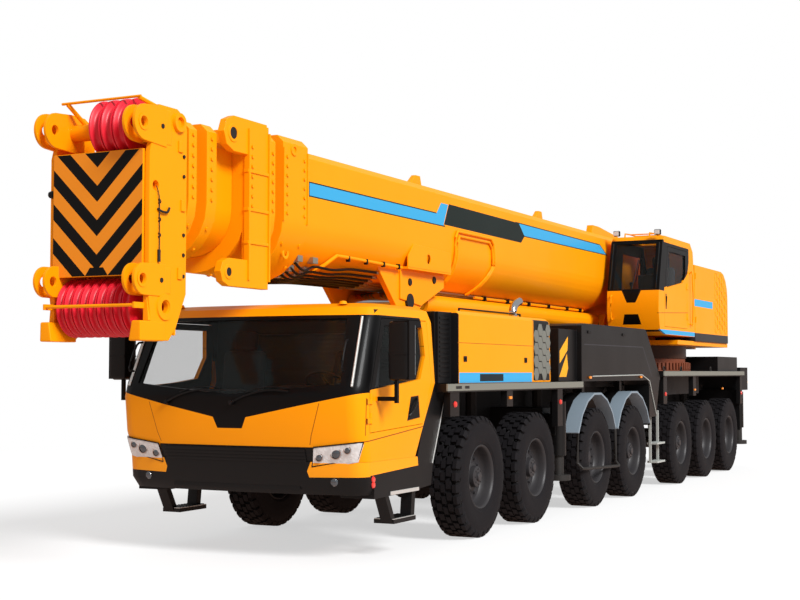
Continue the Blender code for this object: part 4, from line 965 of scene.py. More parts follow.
@dataclass(frozen=True)
class CarrierCab:
    """The driver's cab: grille, lamps, glass, mirrors, trim and the inside."""

    window: tuple[Flat, ...] = ((-2.375, 1.635), (-2.10, 2.245), (-1.265, 2.245), (-1.235, 1.95), (-1.375, 1.715),
                                (-1.75, 1.675))
    slats: tuple[float, ...] = (0.962, 0.994, 1.026, 1.058)

    def glass(self) -> None:
        """Set the door panes into their frames."""
        for side in Side:
            stock = Stock().plate(View.SIDE, self.window, -0.003, 0.003)
            for vert in stock.bm.verts:
                vert.co.x = side.value * (cab_ring(vert.co.z)[1] - 0.028 + vert.co.x)
            bmesh.ops.recalc_face_normals(stock.bm, faces=stock.bm.faces)
            stock.piece(f"{side.label}_door_glass", TINTED_GLASS, f"{side.label}_cab_door")
        Stock().block((-0.905, -1.045, 1.795), (0.905, -1.039, 2.205)).piece("rear_cab_glass", TINTED_GLASS, "carrier")

    def face(self) -> None:
        """Grille, headlamps, trim strips and wipers."""
        lift = 0.012
        grille = Stock()
        grille.patch(((-0.85, 0.95), (0.85, 0.95), (0.87, 1.082), (-0.87, 1.082)),
                     lambda x, z: cab_front(x, z, 0.006), 0.012, 24)
        for z in self.slats:
            grille.patch(((-0.80, z), (0.80, z), (0.80, z + 0.013), (-0.80, z + 0.013)),
                         lambda x, z: cab_front(x, z, 0.020), 0.018, 24)
        for index in range(4):
            z = 0.70 + index * 0.055
            grille.patch(((-0.72, z), (0.72, z), (0.72, z + 0.02), (-0.72, z + 0.02)),
                         lambda x, z: cab_front(x, 0.95, 0.010) + (0.92 - z) * 0.10, 0.02, 24)
        grille.piece("cab_grille", MOULDED_PLASTIC, "carrier")
        lamp = ((0.85, 0.905), (1.30, 0.985), (1.353, 1.142), (0.885, 1.088))
        shell = Stock().patch(lamp, lambda x, z: cab_front(x, z, lift), 0.03, 16, 6).twin()
        shell.piece("headlamp_reflectors", REFLECTOR, "carrier")
        frame_strip = Stock()
        for a, b in zip(lamp, lamp[1:] + lamp[:1]):
            route = [(a[0] + (b[0] - a[0]) * t / 8, a[1] + (b[1] - a[1]) * t / 8) for t in range(9)]
            frame_strip.pipe([(x, cab_front(x, z, lift + 0.002), z) for x, z in route], 0.007, 6)
        frame_strip.twin().piece("headlamp_frames", GLOSS_BLACK, "carrier")
        lenses, rings = Stock(), Stock()
        for x, z, radius in ((0.93, 0.995, 0.036), (1.10, 1.035, 0.050), (1.22, 1.068, 0.032)):
            place = (x, cab_front(x, z, lift + 0.010), z)
            lenses.turned(((0, -0.014), (radius * 0.5, -0.012), (radius * 0.85, -0.004), (radius, 0.006)), place,
                          (0, 1, 0), 24)
            rings.turned(((radius, -0.006), (radius + 0.008, -0.006), (radius + 0.008, 0.012), (radius, 0.012)),
                         place, (0, 1, 0), 24, closed=True)
        lenses.twin().piece("headlamp_lenses", LENS, "carrier")
        rings.twin().piece("headlamp_rings", CHROMED_STEEL, "carrier")
        strip = Stock().pipe([(1.275, -2.640, 1.655), (1.265, -2.575, 1.80), (1.250, -2.472, 2.04),
                              (1.232, -2.352, 2.315)], 0.013, 8).twin()
        strip.piece("pillar_strips", SILVER_TRIM, "carrier")
        wipers = Stock()
        for x, reach in ((0.05, 0.62), (-0.72, 0.62)):
            route = [(x + reach * t / 8, 1.50 + 0.11 * t / 8 + 0.09 * math.sin(math.pi * t / 8) * 0.6)
                     for t in range(9)]
            wipers.pipe([(u, cab_front(u, z, 0.030), z) for u, z in route], 0.008, 6)
            wipers.pipe([(u, cab_front(u, z + 0.03, 0.020), z + 0.03) for u, z in route[2:]], 0.006, 6)
            wipers.bar((x, cab_front(x, 1.50, -0.01), 1.50), (x, cab_front(x, 1.50, 0.04), 1.50), 0.022, 16)
        wipers.piece("wipers", MOULDED_PLASTIC, "carrier")

    def trim(self) -> None:
        """Door handles, steps, reflectors, grab rails and the panel behind each door."""
        for side in Side:
            sign = side.value
            handle = Stock().pipe([(sign * 1.374, -1.64, 1.36), (sign * 1.392, -1.60, 1.40),
                                   (sign * 1.394, -1.50, 1.50), (sign * 1.374, -1.46, 1.53)], 0.012, 8, 3)
            handle.piece(f"{side.label}_door_handle", MOULDED_PLASTIC, f"{side.label}_cab_door")
            mirror = Stock().block((sign * 1.625 - 0.09, -2.202, 1.76), (sign * 1.625 + 0.09, -2.194, 2.23), 0.003)
            mirror.piece(f"{side.label}_mirror_glass", MIRROR_GLASS, f"{side.label}_cab_door")
            cover = Stock().block((sign * 1.625 - 0.108, -2.40, 1.71), (sign * 1.625 + 0.108, -2.208, 2.27), 0.045)
            cover.block((sign * 1.625 - 0.095, -2.402, 1.95), (sign * 1.625 + 0.095, -2.19, 1.962), 0.002)
            cover.piece(f"{side.label}_mirror_cover", MOULDED_PLASTIC, f"{side.label}_cab_door")
        panel = Stock().plate(View.SIDE, ((-0.97, 2.42), (-0.63, 2.42), (-0.63, 1.68), (-1.00, 0.86), (-1.05, 0.64),
                                          (-1.37, 0.62), (-1.385, 0.92), (-1.26, 1.20), (-1.035, 1.58),
                                          (-0.955, 1.68)), 1.22, 1.335, 0.006).twin()
        panel.piece("cab_rear_side_panels", MOULDED_PLASTIC, "carrier")
        silver = Stock().bar((1.338, -0.66, 1.66), (1.338, -1.03, 0.86), 0.007, 8)
        silver.block((1.355, -2.02, 0.612), (1.368, -1.40, 0.648), 0.003)
        silver.block((1.14, -1.94, 0.3705), (1.355, -1.46, 0.378), 0.002)
        silver.twin().piece("step_edges", SILVER_TRIM, "carrier")
        cleats = Stock()
        for index in range(9):
            s = -1.91 + index * 0.052
            cleats.block((1.16, s, 0.376), (1.34, s + 0.018, 0.384), 0.001)
        cleats.twin().piece("step_cleats", MOULDED_PLASTIC, "carrier")
        # The side reflectors take the red lens finish and with it a faint painted glow.
        red = Stock()
        for z in (0.785, 0.735):
            red.turned(((0, 0.012), (0.026, 0.010), (0.032, 0.0), (0.0, -0.004)), (1.36, -2.37, z), (1, 0, 0), 20)
        red.twin().piece("side_reflectors", RED_LENS, "carrier")
        rail = Stock()
        rail.pipe([(1.20, -2.66, 1.80), (1.215, -2.72, 1.83), (1.20, -2.62, 2.06), (1.185, -2.54, 2.09)], 0.011, 8, 3)
        rail.twin().piece("pillar_grab_rails", MOULDED_PLASTIC, "carrier")
        fog = Stock()
        for x in (1.06,):
            fog.turned(((0, -0.02), (0.03, -0.014), (0.04, 0.0), (0.04, 0.03)), (x, cab_front(x, 0.95, 0.0), 0.765),
                       (0, 1, 0), 20)
        fog.twin().piece("fog_lamps", LENS, "carrier")
        roof = Stock()
        for x in (-0.95, 0.95):
            roof.turned(((0, 0.035), (0.03, 0.030), (0.045, 0.0)), (x, -2.22, 2.445), (0, 0, 1), 16)
        for s in (-2.05, -1.45):
            roof.block((-1.0, s, 2.452), (1.0, s + 0.03, 2.462), 0.002)
        roof.piece("roof_lamps_and_ribs", YELLOW_ENAMEL, "carrier")

    def inside(self) -> None:
        """Dashboard, steering wheel and seats."""
        dash = Stock()
        dash.block((-1.18, -2.52, 1.20), (1.18, -2.18, 1.56), 0.05)
        dash.block((-1.10, -2.30, 1.50), (-0.2, -2.10, 1.62), 0.04)
        dash.block((0.25, -2.34, 1.50), (1.05, -2.08, 1.66), 0.05)
        dash.block((-1.25, -2.55, 1.02), (1.25, -1.50, 1.08), 0.01)
        dash.block((-0.28, -2.1, 1.08), (0.22, -1.5, 1.45), 0.05)
        dash.piece("dashboard", MOULDED_PLASTIC, "carrier")
        seats = Stock()
        for x in (-0.68, 0.68):
            seats.block((x - 0.26, -1.95, 1.30), (x + 0.26, -1.46, 1.45), 0.05)
            seats.block((x - 0.25, -1.52, 1.42), (x + 0.25, -1.38, 2.02), 0.06, Matrix.Rotation(-0.12, 4, "X"))
            seats.block((x - 0.14, -1.45, 2.02), (x + 0.14, -1.36, 2.22), 0.04)
            seats.block((x - 0.18, -1.88, 1.08), (x + 0.18, -1.52, 1.30), 0.02)
        seats.piece("cab_seats", SEAT_FABRIC, "carrier")
        wheel = Stock()
        tilt = Vector((0, 0.55, 0.83)).normalized()
        ring = [(0.225 + 0.016 * math.cos(math.tau * i / 10), 0.016 * math.sin(math.tau * i / 10)) for i in range(10)]
        wheel.turned(ring, (0.68, -2.02, 1.66), tuple(tilt), 40, closed=True)
        wheel.bar((0.68, -2.02, 1.65), (0.68, -2.20, 1.40), 0.035, 16)
        for angle in (0.4, 2.74, 4.71):
            reach = Vector((math.cos(angle), 0, 0)) * 0.22 + tilt.cross(Vector((1, 0, 0))) * (0.22 * math.sin(angle))
            wheel.bar((0.68, -2.02, 1.66), tuple(Vector((0.68, -2.02, 1.66)) + reach), 0.014, 8)
        wheel.piece("steering_wheel", MOULDED_PLASTIC, "carrier")

    def build(self) -> None:
        """Make every piece of the cab."""
        self.glass()
        self.face()
        self.trim()
        self.inside()


# ------------------------------------------------------------------------- the boom


def arc(centre: Flat, radius: float, start: float, end: float, steps: int = 10) -> list[Flat]:
    """Points of an arc between two angles in degrees."""
    return [(centre[0] + radius * math.cos(math.radians(start + (end - start) * i / steps)),
             centre[1] + radius * math.sin(math.radians(start + (end - start) * i / steps)))
            for i in range(steps + 1)]


def boom_side(z: float, number: int = 0, lift: float = 0.0) -> float:
    """How far out a boom section's side stands at a height.

    Args:
        z: The height.
        number: The section, zero for the base.
        lift: How far off the surface.

    Returns:
        The distance from the crane's middle.
    """
    half = 0.52 - 0.034 * number + lift
    drop = max(0.0, 3.265 - z)
    return math.sqrt(max(half * half - drop * drop, 0.0016))


@dataclass(frozen=True)
class BoomHead:
    """The head at the boom's tip: cheeks, forked lugs, warning board, sheaves and rope guards."""

    upper: Flat = (-4.56, 3.84)
    lower: Flat = (-4.55, 2.33)
    cheek: tuple[Flat, ...] = ((-4.72, 3.60), (-4.72, 2.42), (-4.69, 2.20), (-4.62, 2.05), (-4.44, 2.05),
                               (-4.34, 2.16), (-4.20, 2.45), (-4.20, 3.86), (-4.24, 3.96), (-4.34, 4.015),
                               (-4.60, 4.015))

    def tube(self) -> Stock:
        """The innermost section's tube, cut off behind the head.

        Returns:
            The tube.
        """
        stock = Stock().copy_of("boom_section_5", 0.0)
        bm = stock.bm
        bmesh.ops.bisect_plane(bm, geom=bm.verts[:] + bm.edges[:] + bm.faces[:], dist=1e-5,
                               plane_co=(0, -4.19, 0), plane_no=(0, -1, 0), clear_outer=True)
        bmesh.ops.holes_fill(bm, edges=[e for e in bm.edges if e.is_boundary], sides=0)
        return stock

    def shell(self) -> None:
        """Cheeks, core, board, lugs and feet."""
        stock = self.tube()
        stock.block((-0.465, -4.72, 2.64), (0.465, -4.185, 3.52), 0.012)
        stock.block((-0.469, -4.745, 2.585), (0.469, -4.718, 3.63), 0.004)
        stock.block((-0.46, -4.72, 3.50), (0.46, -4.24, 3.56), 0.01)
        half = Stock()
        holes = (circle((-4.50, 2.33), 0.050), circle((-4.635, 3.33), 0.042))
        half.plate(View.SIDE, self.cheek, 0.470, 0.520, 0.007, holes)
        half.turned(((0.085, 0.0), (0.080, 0.030), (0.048, 0.030), (0.044, 0.0)), (0.519, -4.33, 3.90), (1, 0, 0), 28,
                    closed=True)
        for centre, radius, low, high in (((-4.785, 3.835), 0.15, 3.665, 4.005), ((-4.79, 2.55), 0.132, 2.415, 2.685)):
            nose = [(-4.50, low), *arc(centre, radius, 262, 98, 14), (-4.50, high)]
            hole = (circle((-4.815, centre[1]), 0.042),)
            for x in (0.396, 0.500):
                half.plate(View.SIDE, nose, x, x + 0.028, 0.004, hole)
            half.block((0.402, -4.70, low + 0.02), (0.524, -4.42, high - 0.02), 0.012)
            half.turned(((0.070, 0.0), (0.070, 0.008), (0.046, 0.008), (0.046, 0.0)), (0.526, -4.815, centre[1]),
                        (1, 0, 0), 24, closed=True)
        half.plate(View.FRONT, ((0.40, 2.045), (0.525, 2.045), (0.522, 2.21), (0.43, 2.21)), -4.83, -4.50, 0.012)
        half.plate(View.FRONT, ((0.462, 2.21), (0.520, 2.21), (0.50, 2.42), (0.462, 2.42)), -4.72, -4.69, 0.004)
        half.turned(((0.115, 0.0), (0.110, 0.014), (0.060, 0.014), (0.055, 0.0)), (0.519, -4.50, 2.33), (1, 0, 0), 28,
                    closed=True)
        for s, z in ((-4.30, 3.70), (-4.30, 2.62), (-4.26, 3.20)):
            half.block((0.50, s - 0.03, z - 0.05), (0.535, s + 0.03, z + 0.05), 0.006)
        half.twin()
        mesh = bpy.data.meshes.new("half")
        half.bm.to_mesh(mesh)
        stock.bm.from_mesh(mesh)
        bpy.data.meshes.remove(mesh)
        stock.bar((-0.47, *self.upper), (-0.062, *self.upper), 0.072, 28)
        stock.bar((0.322, *self.upper), (0.47, *self.upper), 0.072, 28)
        stock.block((-0.46, -4.285, 2.10), (0.46, -4.262, 2.68), 0.004)
        stock.pipe([(-0.29, -4.50, 3.88), (-0.37, -4.69, 4.070)], 0.020, 8)
        stock.pipe([(0.48, -4.36, 3.96), (0.38, -4.69, 4.070)], 0.020, 8)
        stock.bar((-0.43, -4.69, 4.078), (0.40, -4.69, 4.078), 0.012, 12)
        stock.bar((-0.47, -4.835, 2.335), (0.47, -4.835, 2.335), 0.014, 12)
        for sign in (-1, 1):
            stock.block((sign * 0.465 - 0.012, -4.85, 2.31), (sign * 0.465 + 0.012, -4.62, 2.36), 0.004)
        stock.piece("boom_head", HEAD_LIVERY, "section_5", ("boom_section_5",))

    def pins(self) -> None:
        """Dark pins, the chain and bolts on the cheeks."""
        stock = Stock()
        for centre in (3.835, 2.55):
            stock.bar((0.515, -4.56, centre), (0.535, -4.56, centre), 0.022, 6)
        for z in (3.20, 3.05, 2.92):
            stock.turned([(0.016 + 0.005 * math.cos(math.tau * i / 6), 0.005 * math.sin(math.tau * i / 6))
                          for i in range(6)], (0.530, -4.60, z), (0, 1, 0), 12, closed=True)
        stock.pipe([(0.524, -4.635, 3.33), (0.536, -4.61, 3.24), (0.534, -4.60, 3.05), (0.536, -4.60, 2.80)],
                   0.0045, 6, 4)
        stock.bar((0.532, -4.60, 2.80), (0.532, -4.60, 2.70), 0.014, 10)
        stock.pipe([(0.530, -4.62, 3.14), (0.540, -4.58, 3.12), (0.540, -4.50, 3.12), (0.530, -4.46, 3.16)],
                   0.010, 8, 3)
        for z in (3.62, 3.45, 2.95, 2.78, 2.60):
            stock.bar((0.518, -4.25, z), (0.532, -4.25, z), 0.016, 6)
        stock.twin().piece("head_pins_and_chains", CAST_STEEL, "section_5")
        knob = Stock().turned(((0, -0.03), (0.028, -0.025), (0.034, 0.0), (0.028, 0.02), (0, 0.024)),
                              (-0.50, -4.72, 3.30), (1, 0, 0), 20)
        knob.piece("head_limit_switch", MOULDED_PLASTIC, "section_5")

    def sheaves(self) -> None:
        """Grooved rope sheaves on both shafts."""
        for name, shaft, low, high, count in (("upper", self.upper, -0.055, 0.315, 3),
                                              ("lower", self.lower, -0.385, 0.385, 9)):
            width = (high - low) / count
            profile = [(0.0, low)]
            for index in range(count):
                a, b = low + index * width, low + (index + 1) * width
                rim = width * 0.16
                groove = [(0.248, a + rim), (0.232, a + rim * 1.6)]
                groove += arc((0.232, (a + b) / 2), (b - a) / 2 - rim * 1.6, -90, -270, 6)[1:-1]
                groove += [(0.232, b - rim * 1.6), (0.248, b - rim)]
                profile += [(0.11, a + 0.002), (0.19, a + 0.004), (0.235, a + 0.004), (0.249, a + 0.008)]
                profile += [(radius, x) for radius, x in groove if a < x < b]
                profile += [(0.249, b - 0.008), (0.235, b - 0.004), (0.19, b - 0.004), (0.11, b - 0.002)]
            profile.append((0.0, high))
            stock = Stock().turned(profile, (0.0, *shaft), (1, 0, 0), 56)
            stock.piece(f"{name}_rope_sheaves", RED_POLYAMIDE, f"{name}_sheaves", (f"{name}_sheaves",), 40)

    def build(self) -> None:
        """Make every piece of the head."""
        self.shell()
        self.pins()
        self.sheaves()


@dataclass(frozen=True)
class BoomFittings:
    """Rails, pipes, hoses, pins and bolts along the boom."""

    # body, station of the bolt rows, distance out
    bolt_rows: tuple[tuple[str, float, float], ...] = (
        ("boom", -2.68, 0.595), ("boom", -2.36, 0.595), ("section_1", -2.90, 0.571), ("section_2", -3.30, 0.600),
        ("section_3", -3.83, 0.518), ("section_4", -4.09, 0.504))

    def bolts(self) -> None:
        """Hexagon heads down the collars' sides."""
        for index, (body, station, x) in enumerate(self.bolt_rows):
            stock = Stock()
            for step in range(7):
                z = 3.30 + 0.09 * step
                stock.bar((x - 0.002, station, z), (x + 0.014, station, z), 0.017, 6)
            for angle in (25, 50, 75):
                out = Vector((math.cos(math.radians(angle)), 0, -math.sin(math.radians(angle))))
                foot = Vector((0, station, 3.265)) + out * (x - 0.004)
                stock.bar(tuple(foot), tuple(foot + out * 0.014), 0.017, 6)
            stock.twin().piece(f"collar_bolts_{index + 1}", YELLOW_ENAMEL, body)

    def section_lugs(self) -> None:
        """Pins, eyes and stiffeners on the second section's lug plates."""
        yellow, dark = Stock(), Stock()
        for s, z, radius in ((-3.615, 3.92, 0.085), (-3.675, 2.675, 0.070)):
            yellow.turned(((radius, 0), (radius - 0.006, 0.010), (radius - 0.03, 0.010), (radius - 0.03, 0)),
                          (0.598, s, z), (1, 0, 0), 28, closed=True)
            dark.bar((0.55, s, z), (0.604, s, z), radius - 0.03, 20)
        for z in (3.60, 3.25, 2.95):
            yellow.block((0.56, -3.38, z), (0.612, -3.02, z + 0.03), 0.004)
        for s in (-3.02, -3.36):
            yellow.block((0.56, s - 0.012, 2.62), (0.618, s + 0.012, 4.0), 0.003)
        yellow.twin().piece("section_2_stiffeners", YELLOW_ENAMEL, "section_2")
        dark.twin().piece("section_2_pins", CAST_STEEL, "section_2")
        eyes = Stock()
        for s, z in ((-2.56, 3.92), (-2.55, 2.93)):
            eyes.turned(((0.060, 0), (0.056, 0.012), (0.030, 0.012), (0.030, 0)),
                        (boom_side(z, 0, 0.075), s, z), (1, 0, 0), 24, closed=True)
        for s in (-2.74, -2.30):
            for low, high in ((3.22, 3.92),):
                eyes.block((0.585, s - 0.010, low), (0.606, s + 0.010, high), 0.003)
        eyes.twin().piece("base_collar_eyes", YELLOW_ENAMEL, "boom")

    def side_fittings(self) -> None:
        """The framed panel, the pipe rails with their clips and the bracket on each side."""
        frame_path = ((1.34, 2.80), (1.34, 3.42), (1.40, 3.50), (2.44, 3.50), (2.53, 3.43), (2.58, 3.15),
                      (2.36, 2.78))
        panel = Stock()
        for inset in (0.0, 0.055):
            route = [(s + (inset if s < 1.8 else -inset), z - (inset if z > 3.3 else 0)) for s, z in frame_path]
            fine = []
            for a, b in zip(route, route[1:]):
                fine += [(a[0] + (b[0] - a[0]) * i / 6, a[1] + (b[1] - a[1]) * i / 6) for i in range(6)]
            fine.append(route[-1])
            panel.pipe([(boom_side(z, 0, 0.016), s, z) for s, z in fine], 0.017, 8)
        rail = [(-1.70, 2.80), (-1.60, 2.90), (-1.50, 2.985), (-1.30, 2.985), (0.02, 2.965)]
        panel.pipe([(boom_side(z, 0, 0.03), s, z) for s, z in rail], 0.020, 10)
        panel.pipe([(boom_side(2.76, 0, 0.03), s, 2.76) for s in (2.62, 4.0, 5.6, 6.9)], 0.020, 10)
        panel.plate(View.SIDE, ((0.06, 2.62), (0.60, 2.56), (1.23, 2.80), (1.23, 2.97), (0.06, 2.97)),
                    0.412, 0.43, 0.006, (circle((0.30, 2.82), 0.045), circle((0.95, 2.88), 0.045)))
        panel.plate(View.SIDE, ((0.06, 2.97), (1.23, 2.97), (1.23, 3.22), (0.20, 3.25), (0.06, 3.10)),
                    0.510, 0.528, 0.006, (circle((0.60, 3.10), 0.055),))
        panel.block((0.435, 0.06, 2.955), (0.528, 1.23, 2.983), 0.004)
        panel.twin().piece("boom_side_fittings", YELLOW_ENAMEL, "boom")
        clips = Stock()
        for s in (-1.25, -0.85, -0.45, -0.08):
            clips.block((0.45, s - 0.015, 2.94), (boom_side(2.97, 0, 0.055), s + 0.015, 3.00), 0.006)
        for s in (2.9, 3.7, 4.5, 5.3, 6.1, 6.7):
            clips.block((0.20, s - 0.015, 2.73), (boom_side(2.76, 0, 0.055), s + 0.015, 2.79), 0.006)
        clips.twin().piece("rail_clips", MOULDED_PLASTIC, "boom")
        pins = Stock()
        for s, z, radius in ((0.30, 2.60, 0.09), (0.30, 2.82, 0.04), (0.95, 2.88, 0.04)):
            pins.bar((0.412, s, z), (0.440, s, z), radius, 24)
        pins.twin().piece("bracket_pins", CAST_STEEL, "boom")

    def hoses(self) -> None:
        """Hydraulic hoses and pipe ends bunched under the boom's front."""
        hoses, ends = Stock(), Stock()
        for index in range(6):
            drop = 0.030 * index
            x = 0.10 + 0.055 * index
            top = 3.265 - math.sqrt(0.52 ** 2 - x * x)
            route = [(x, -2.20, top - 0.02), (x + 0.03, -2.05, top - 0.06 - drop * 0.3), (x + 0.01, -1.80, top - 0.05),
                     (x + 0.02, -1.45, top - 0.03 - drop * 0.2), (x, -1.0, top - 0.025), (x, -0.40, top - 0.022)]
            hoses.pipe(route, 0.014, 8, 5)
            ends.bar((x, -2.24, top - 0.02), (x, -2.12, top - 0.03), 0.019, 6)
            ends.bar((x, -0.44, top - 0.022), (x, -0.34, top - 0.022), 0.019, 6)
        hoses.twin().piece("boom_hoses", MOULDED_PLASTIC, "boom")
        for s in (-2.16, -1.86):
            for x in (0.18, 0.30, 0.40):
                top = 3.265 - math.sqrt(0.52 ** 2 - x * x)
                ends.block((x - 0.035, s - 0.05, top - 0.055), (x + 0.035, s + 0.05, top + 0.01), 0.006)
        ends.twin().piece("hose_ends_and_valves", ZINC_PLATE, "boom")
        pipes = Stock()
        for index in range(4):
            x = 0.06 + 0.05 * index
            z = 3.265 - math.sqrt(0.52 ** 2 - x * x) - 0.016
            pipes.pipe([(x, -0.30, z), (x, 6.4, z)], 0.012, 8)
        pipes.twin().piece("boom_pipes", ZINC_PLATE, "boom")

    def build(self) -> None:
        """Make every fitting of the boom."""
        self.bolts()
        self.section_lugs()
        self.side_fittings()
        self.hoses()


# --------------------------------------------------------------------- superstructure


@dataclass(frozen=True)
class OperatorCab:
    """The crane operator's cab: glass, seat, controls and rails."""

    inner_x: float = 0.62
    outer_x: float = 1.45
    window: tuple[Flat, ...] = ((7.374, 3.112), (7.514, 3.706), (8.506, 3.706), (8.506, 3.396), (8.344, 3.244))

    def glass(self) -> None:
        """Set every pane."""
        front = Stock().patch(((0.71, 3.07), (1.36, 3.07), (1.36, 3.81), (0.71, 3.81)),
                              lambda x, z: 6.93 + (z - 3.05) * 0.291 + 0.024, 0.006, 4, 4)
        front.piece("operator_windscreen", TINTED_GLASS, "superstructure")
        rest = Stock().block((0.638, 7.49, 3.04), (0.644, 8.71, 3.71))
        rest.block((0.79, 7.59, 3.903), (1.28, 8.31, 3.909))
        rest.piece("operator_side_glass", TINTED_GLASS, "superstructure")
        door = Stock().plate(View.SIDE, self.window, 1.424, 1.430)
        door.piece("operator_door_glass", TINTED_GLASS, "operator_door")

    def trim(self) -> None:
        """Rails, wiper, handle, work lamps and the pillar strips."""
        rails = Stock()
        rails.pipe([(1.20, 7.30, 3.93), (1.20, 7.32, 3.99), (1.20, 7.60, 4.00), (1.20, 8.55, 4.00), (1.20, 8.70, 3.93)],
                   0.012, 8)
        rails.pipe([(0.80, 7.30, 3.93), (0.80, 7.32, 3.99), (0.80, 7.60, 4.00), (0.80, 8.55, 4.00), (0.80, 8.70, 3.93)],
                   0.012, 8)
        for s in (7.6, 7.9, 8.2, 8.5):
            rails.bar((0.80, s, 4.00), (1.20, s, 4.00), 0.010, 8)
        rails.pipe([(1.452, 8.76, 2.60), (1.50, 8.76, 2.62), (1.50, 8.76, 3.40), (1.452, 8.76, 3.42)], 0.013, 8, 3)
        rails.pipe([(0.70, 6.93, 2.62), (0.70, 6.86, 2.64), (0.70, 6.86, 2.96), (0.70, 6.93, 2.98)], 0.012, 8, 3)
        rails.piece("operator_cab_rails", YELLOW_ENAMEL, "superstructure")
        dark = Stock()
        dark.pipe([(1.00, 6.93, 3.02), (1.02, 6.925, 3.10), (1.10, 7.045, 3.55)], 0.009, 6)
        dark.pipe([(1.06, 7.0, 3.20), (1.12, 7.13, 3.68)], 0.008, 6)
        for x in (0.72, 1.38):
            dark.block((x - 0.05, 7.10, 3.935), (x + 0.05, 7.17, 4.02), 0.012)
        dark.piece("operator_cab_fittings", MOULDED_PLASTIC, "superstructure")
        strip = Stock()
        for x in (0.665, 1.405):
            strip.pipe([(x, 6.928, 3.08), (x, 7.146, 3.82)], 0.010, 8)
        strip.piece("operator_pillar_strips", GLOSS_BLACK, "superstructure")
        lamps = Stock()
        for x in (0.72, 1.38):
            lamps.block((x - 0.042, 7.094, 3.943), (x + 0.042, 7.10, 4.012), 0.002)
        lamps.piece("operator_work_lamps", REFLECTOR, "superstructure")
        handle = Stock().bar((1.448, 7.33, 2.82), (1.460, 7.33, 2.98), 0.010, 8)
        handle.piece("operator_door_handle", MOULDED_PLASTIC, "operator_door")

    def inside(self) -> None:
        """Seat, armrest consoles, joysticks and display."""
        stock = Stock()
        stock.block((0.80, 7.95, 2.80), (1.28, 8.42, 2.93), 0.05)
        stock.block((0.80, 8.36, 2.90), (1.28, 8.52, 3.52), 0.06, Matrix.Rotation(-0.15, 4, "X"))
        stock.block((0.90, 8.44, 3.50), (1.18, 8.56, 3.70), 0.04)
        stock.piece("operator_seat", SEAT_FABRIC, "superstructure")
        consoles = Stock()
        consoles.block((0.86, 8.0, 2.44), (1.22, 8.35, 2.80), 0.03)
        for x in (0.75, 1.33):
            consoles.block((x - 0.06, 7.72, 2.94), (x + 0.06, 8.30, 3.06), 0.03)
            consoles.bar((x, 7.80, 3.05), (x, 7.77, 3.20), 0.012, 10)
            consoles.turned(((0, 0.035), (0.022, 0.02), (0.026, -0.01), (0.016, -0.03), (0, -0.03)), (x, 7.765, 3.22),
                            (0, 0, 1), 16)
        consoles.block((0.72, 7.02, 2.42), (1.36, 7.20, 2.95), 0.04)
        consoles.block((1.02, 7.25, 3.10), (1.30, 7.29, 3.32), 0.01)
        consoles.bar((1.16, 7.25, 2.9), (1.16, 7.28, 3.15), 0.018, 10)
        consoles.piece("operator_controls", MOULDED_PLASTIC, "superstructure")

    def build(self) -> None:
        """Make every piece of the operator's cab."""
        self.glass()
        self.trim()
        self.inside()


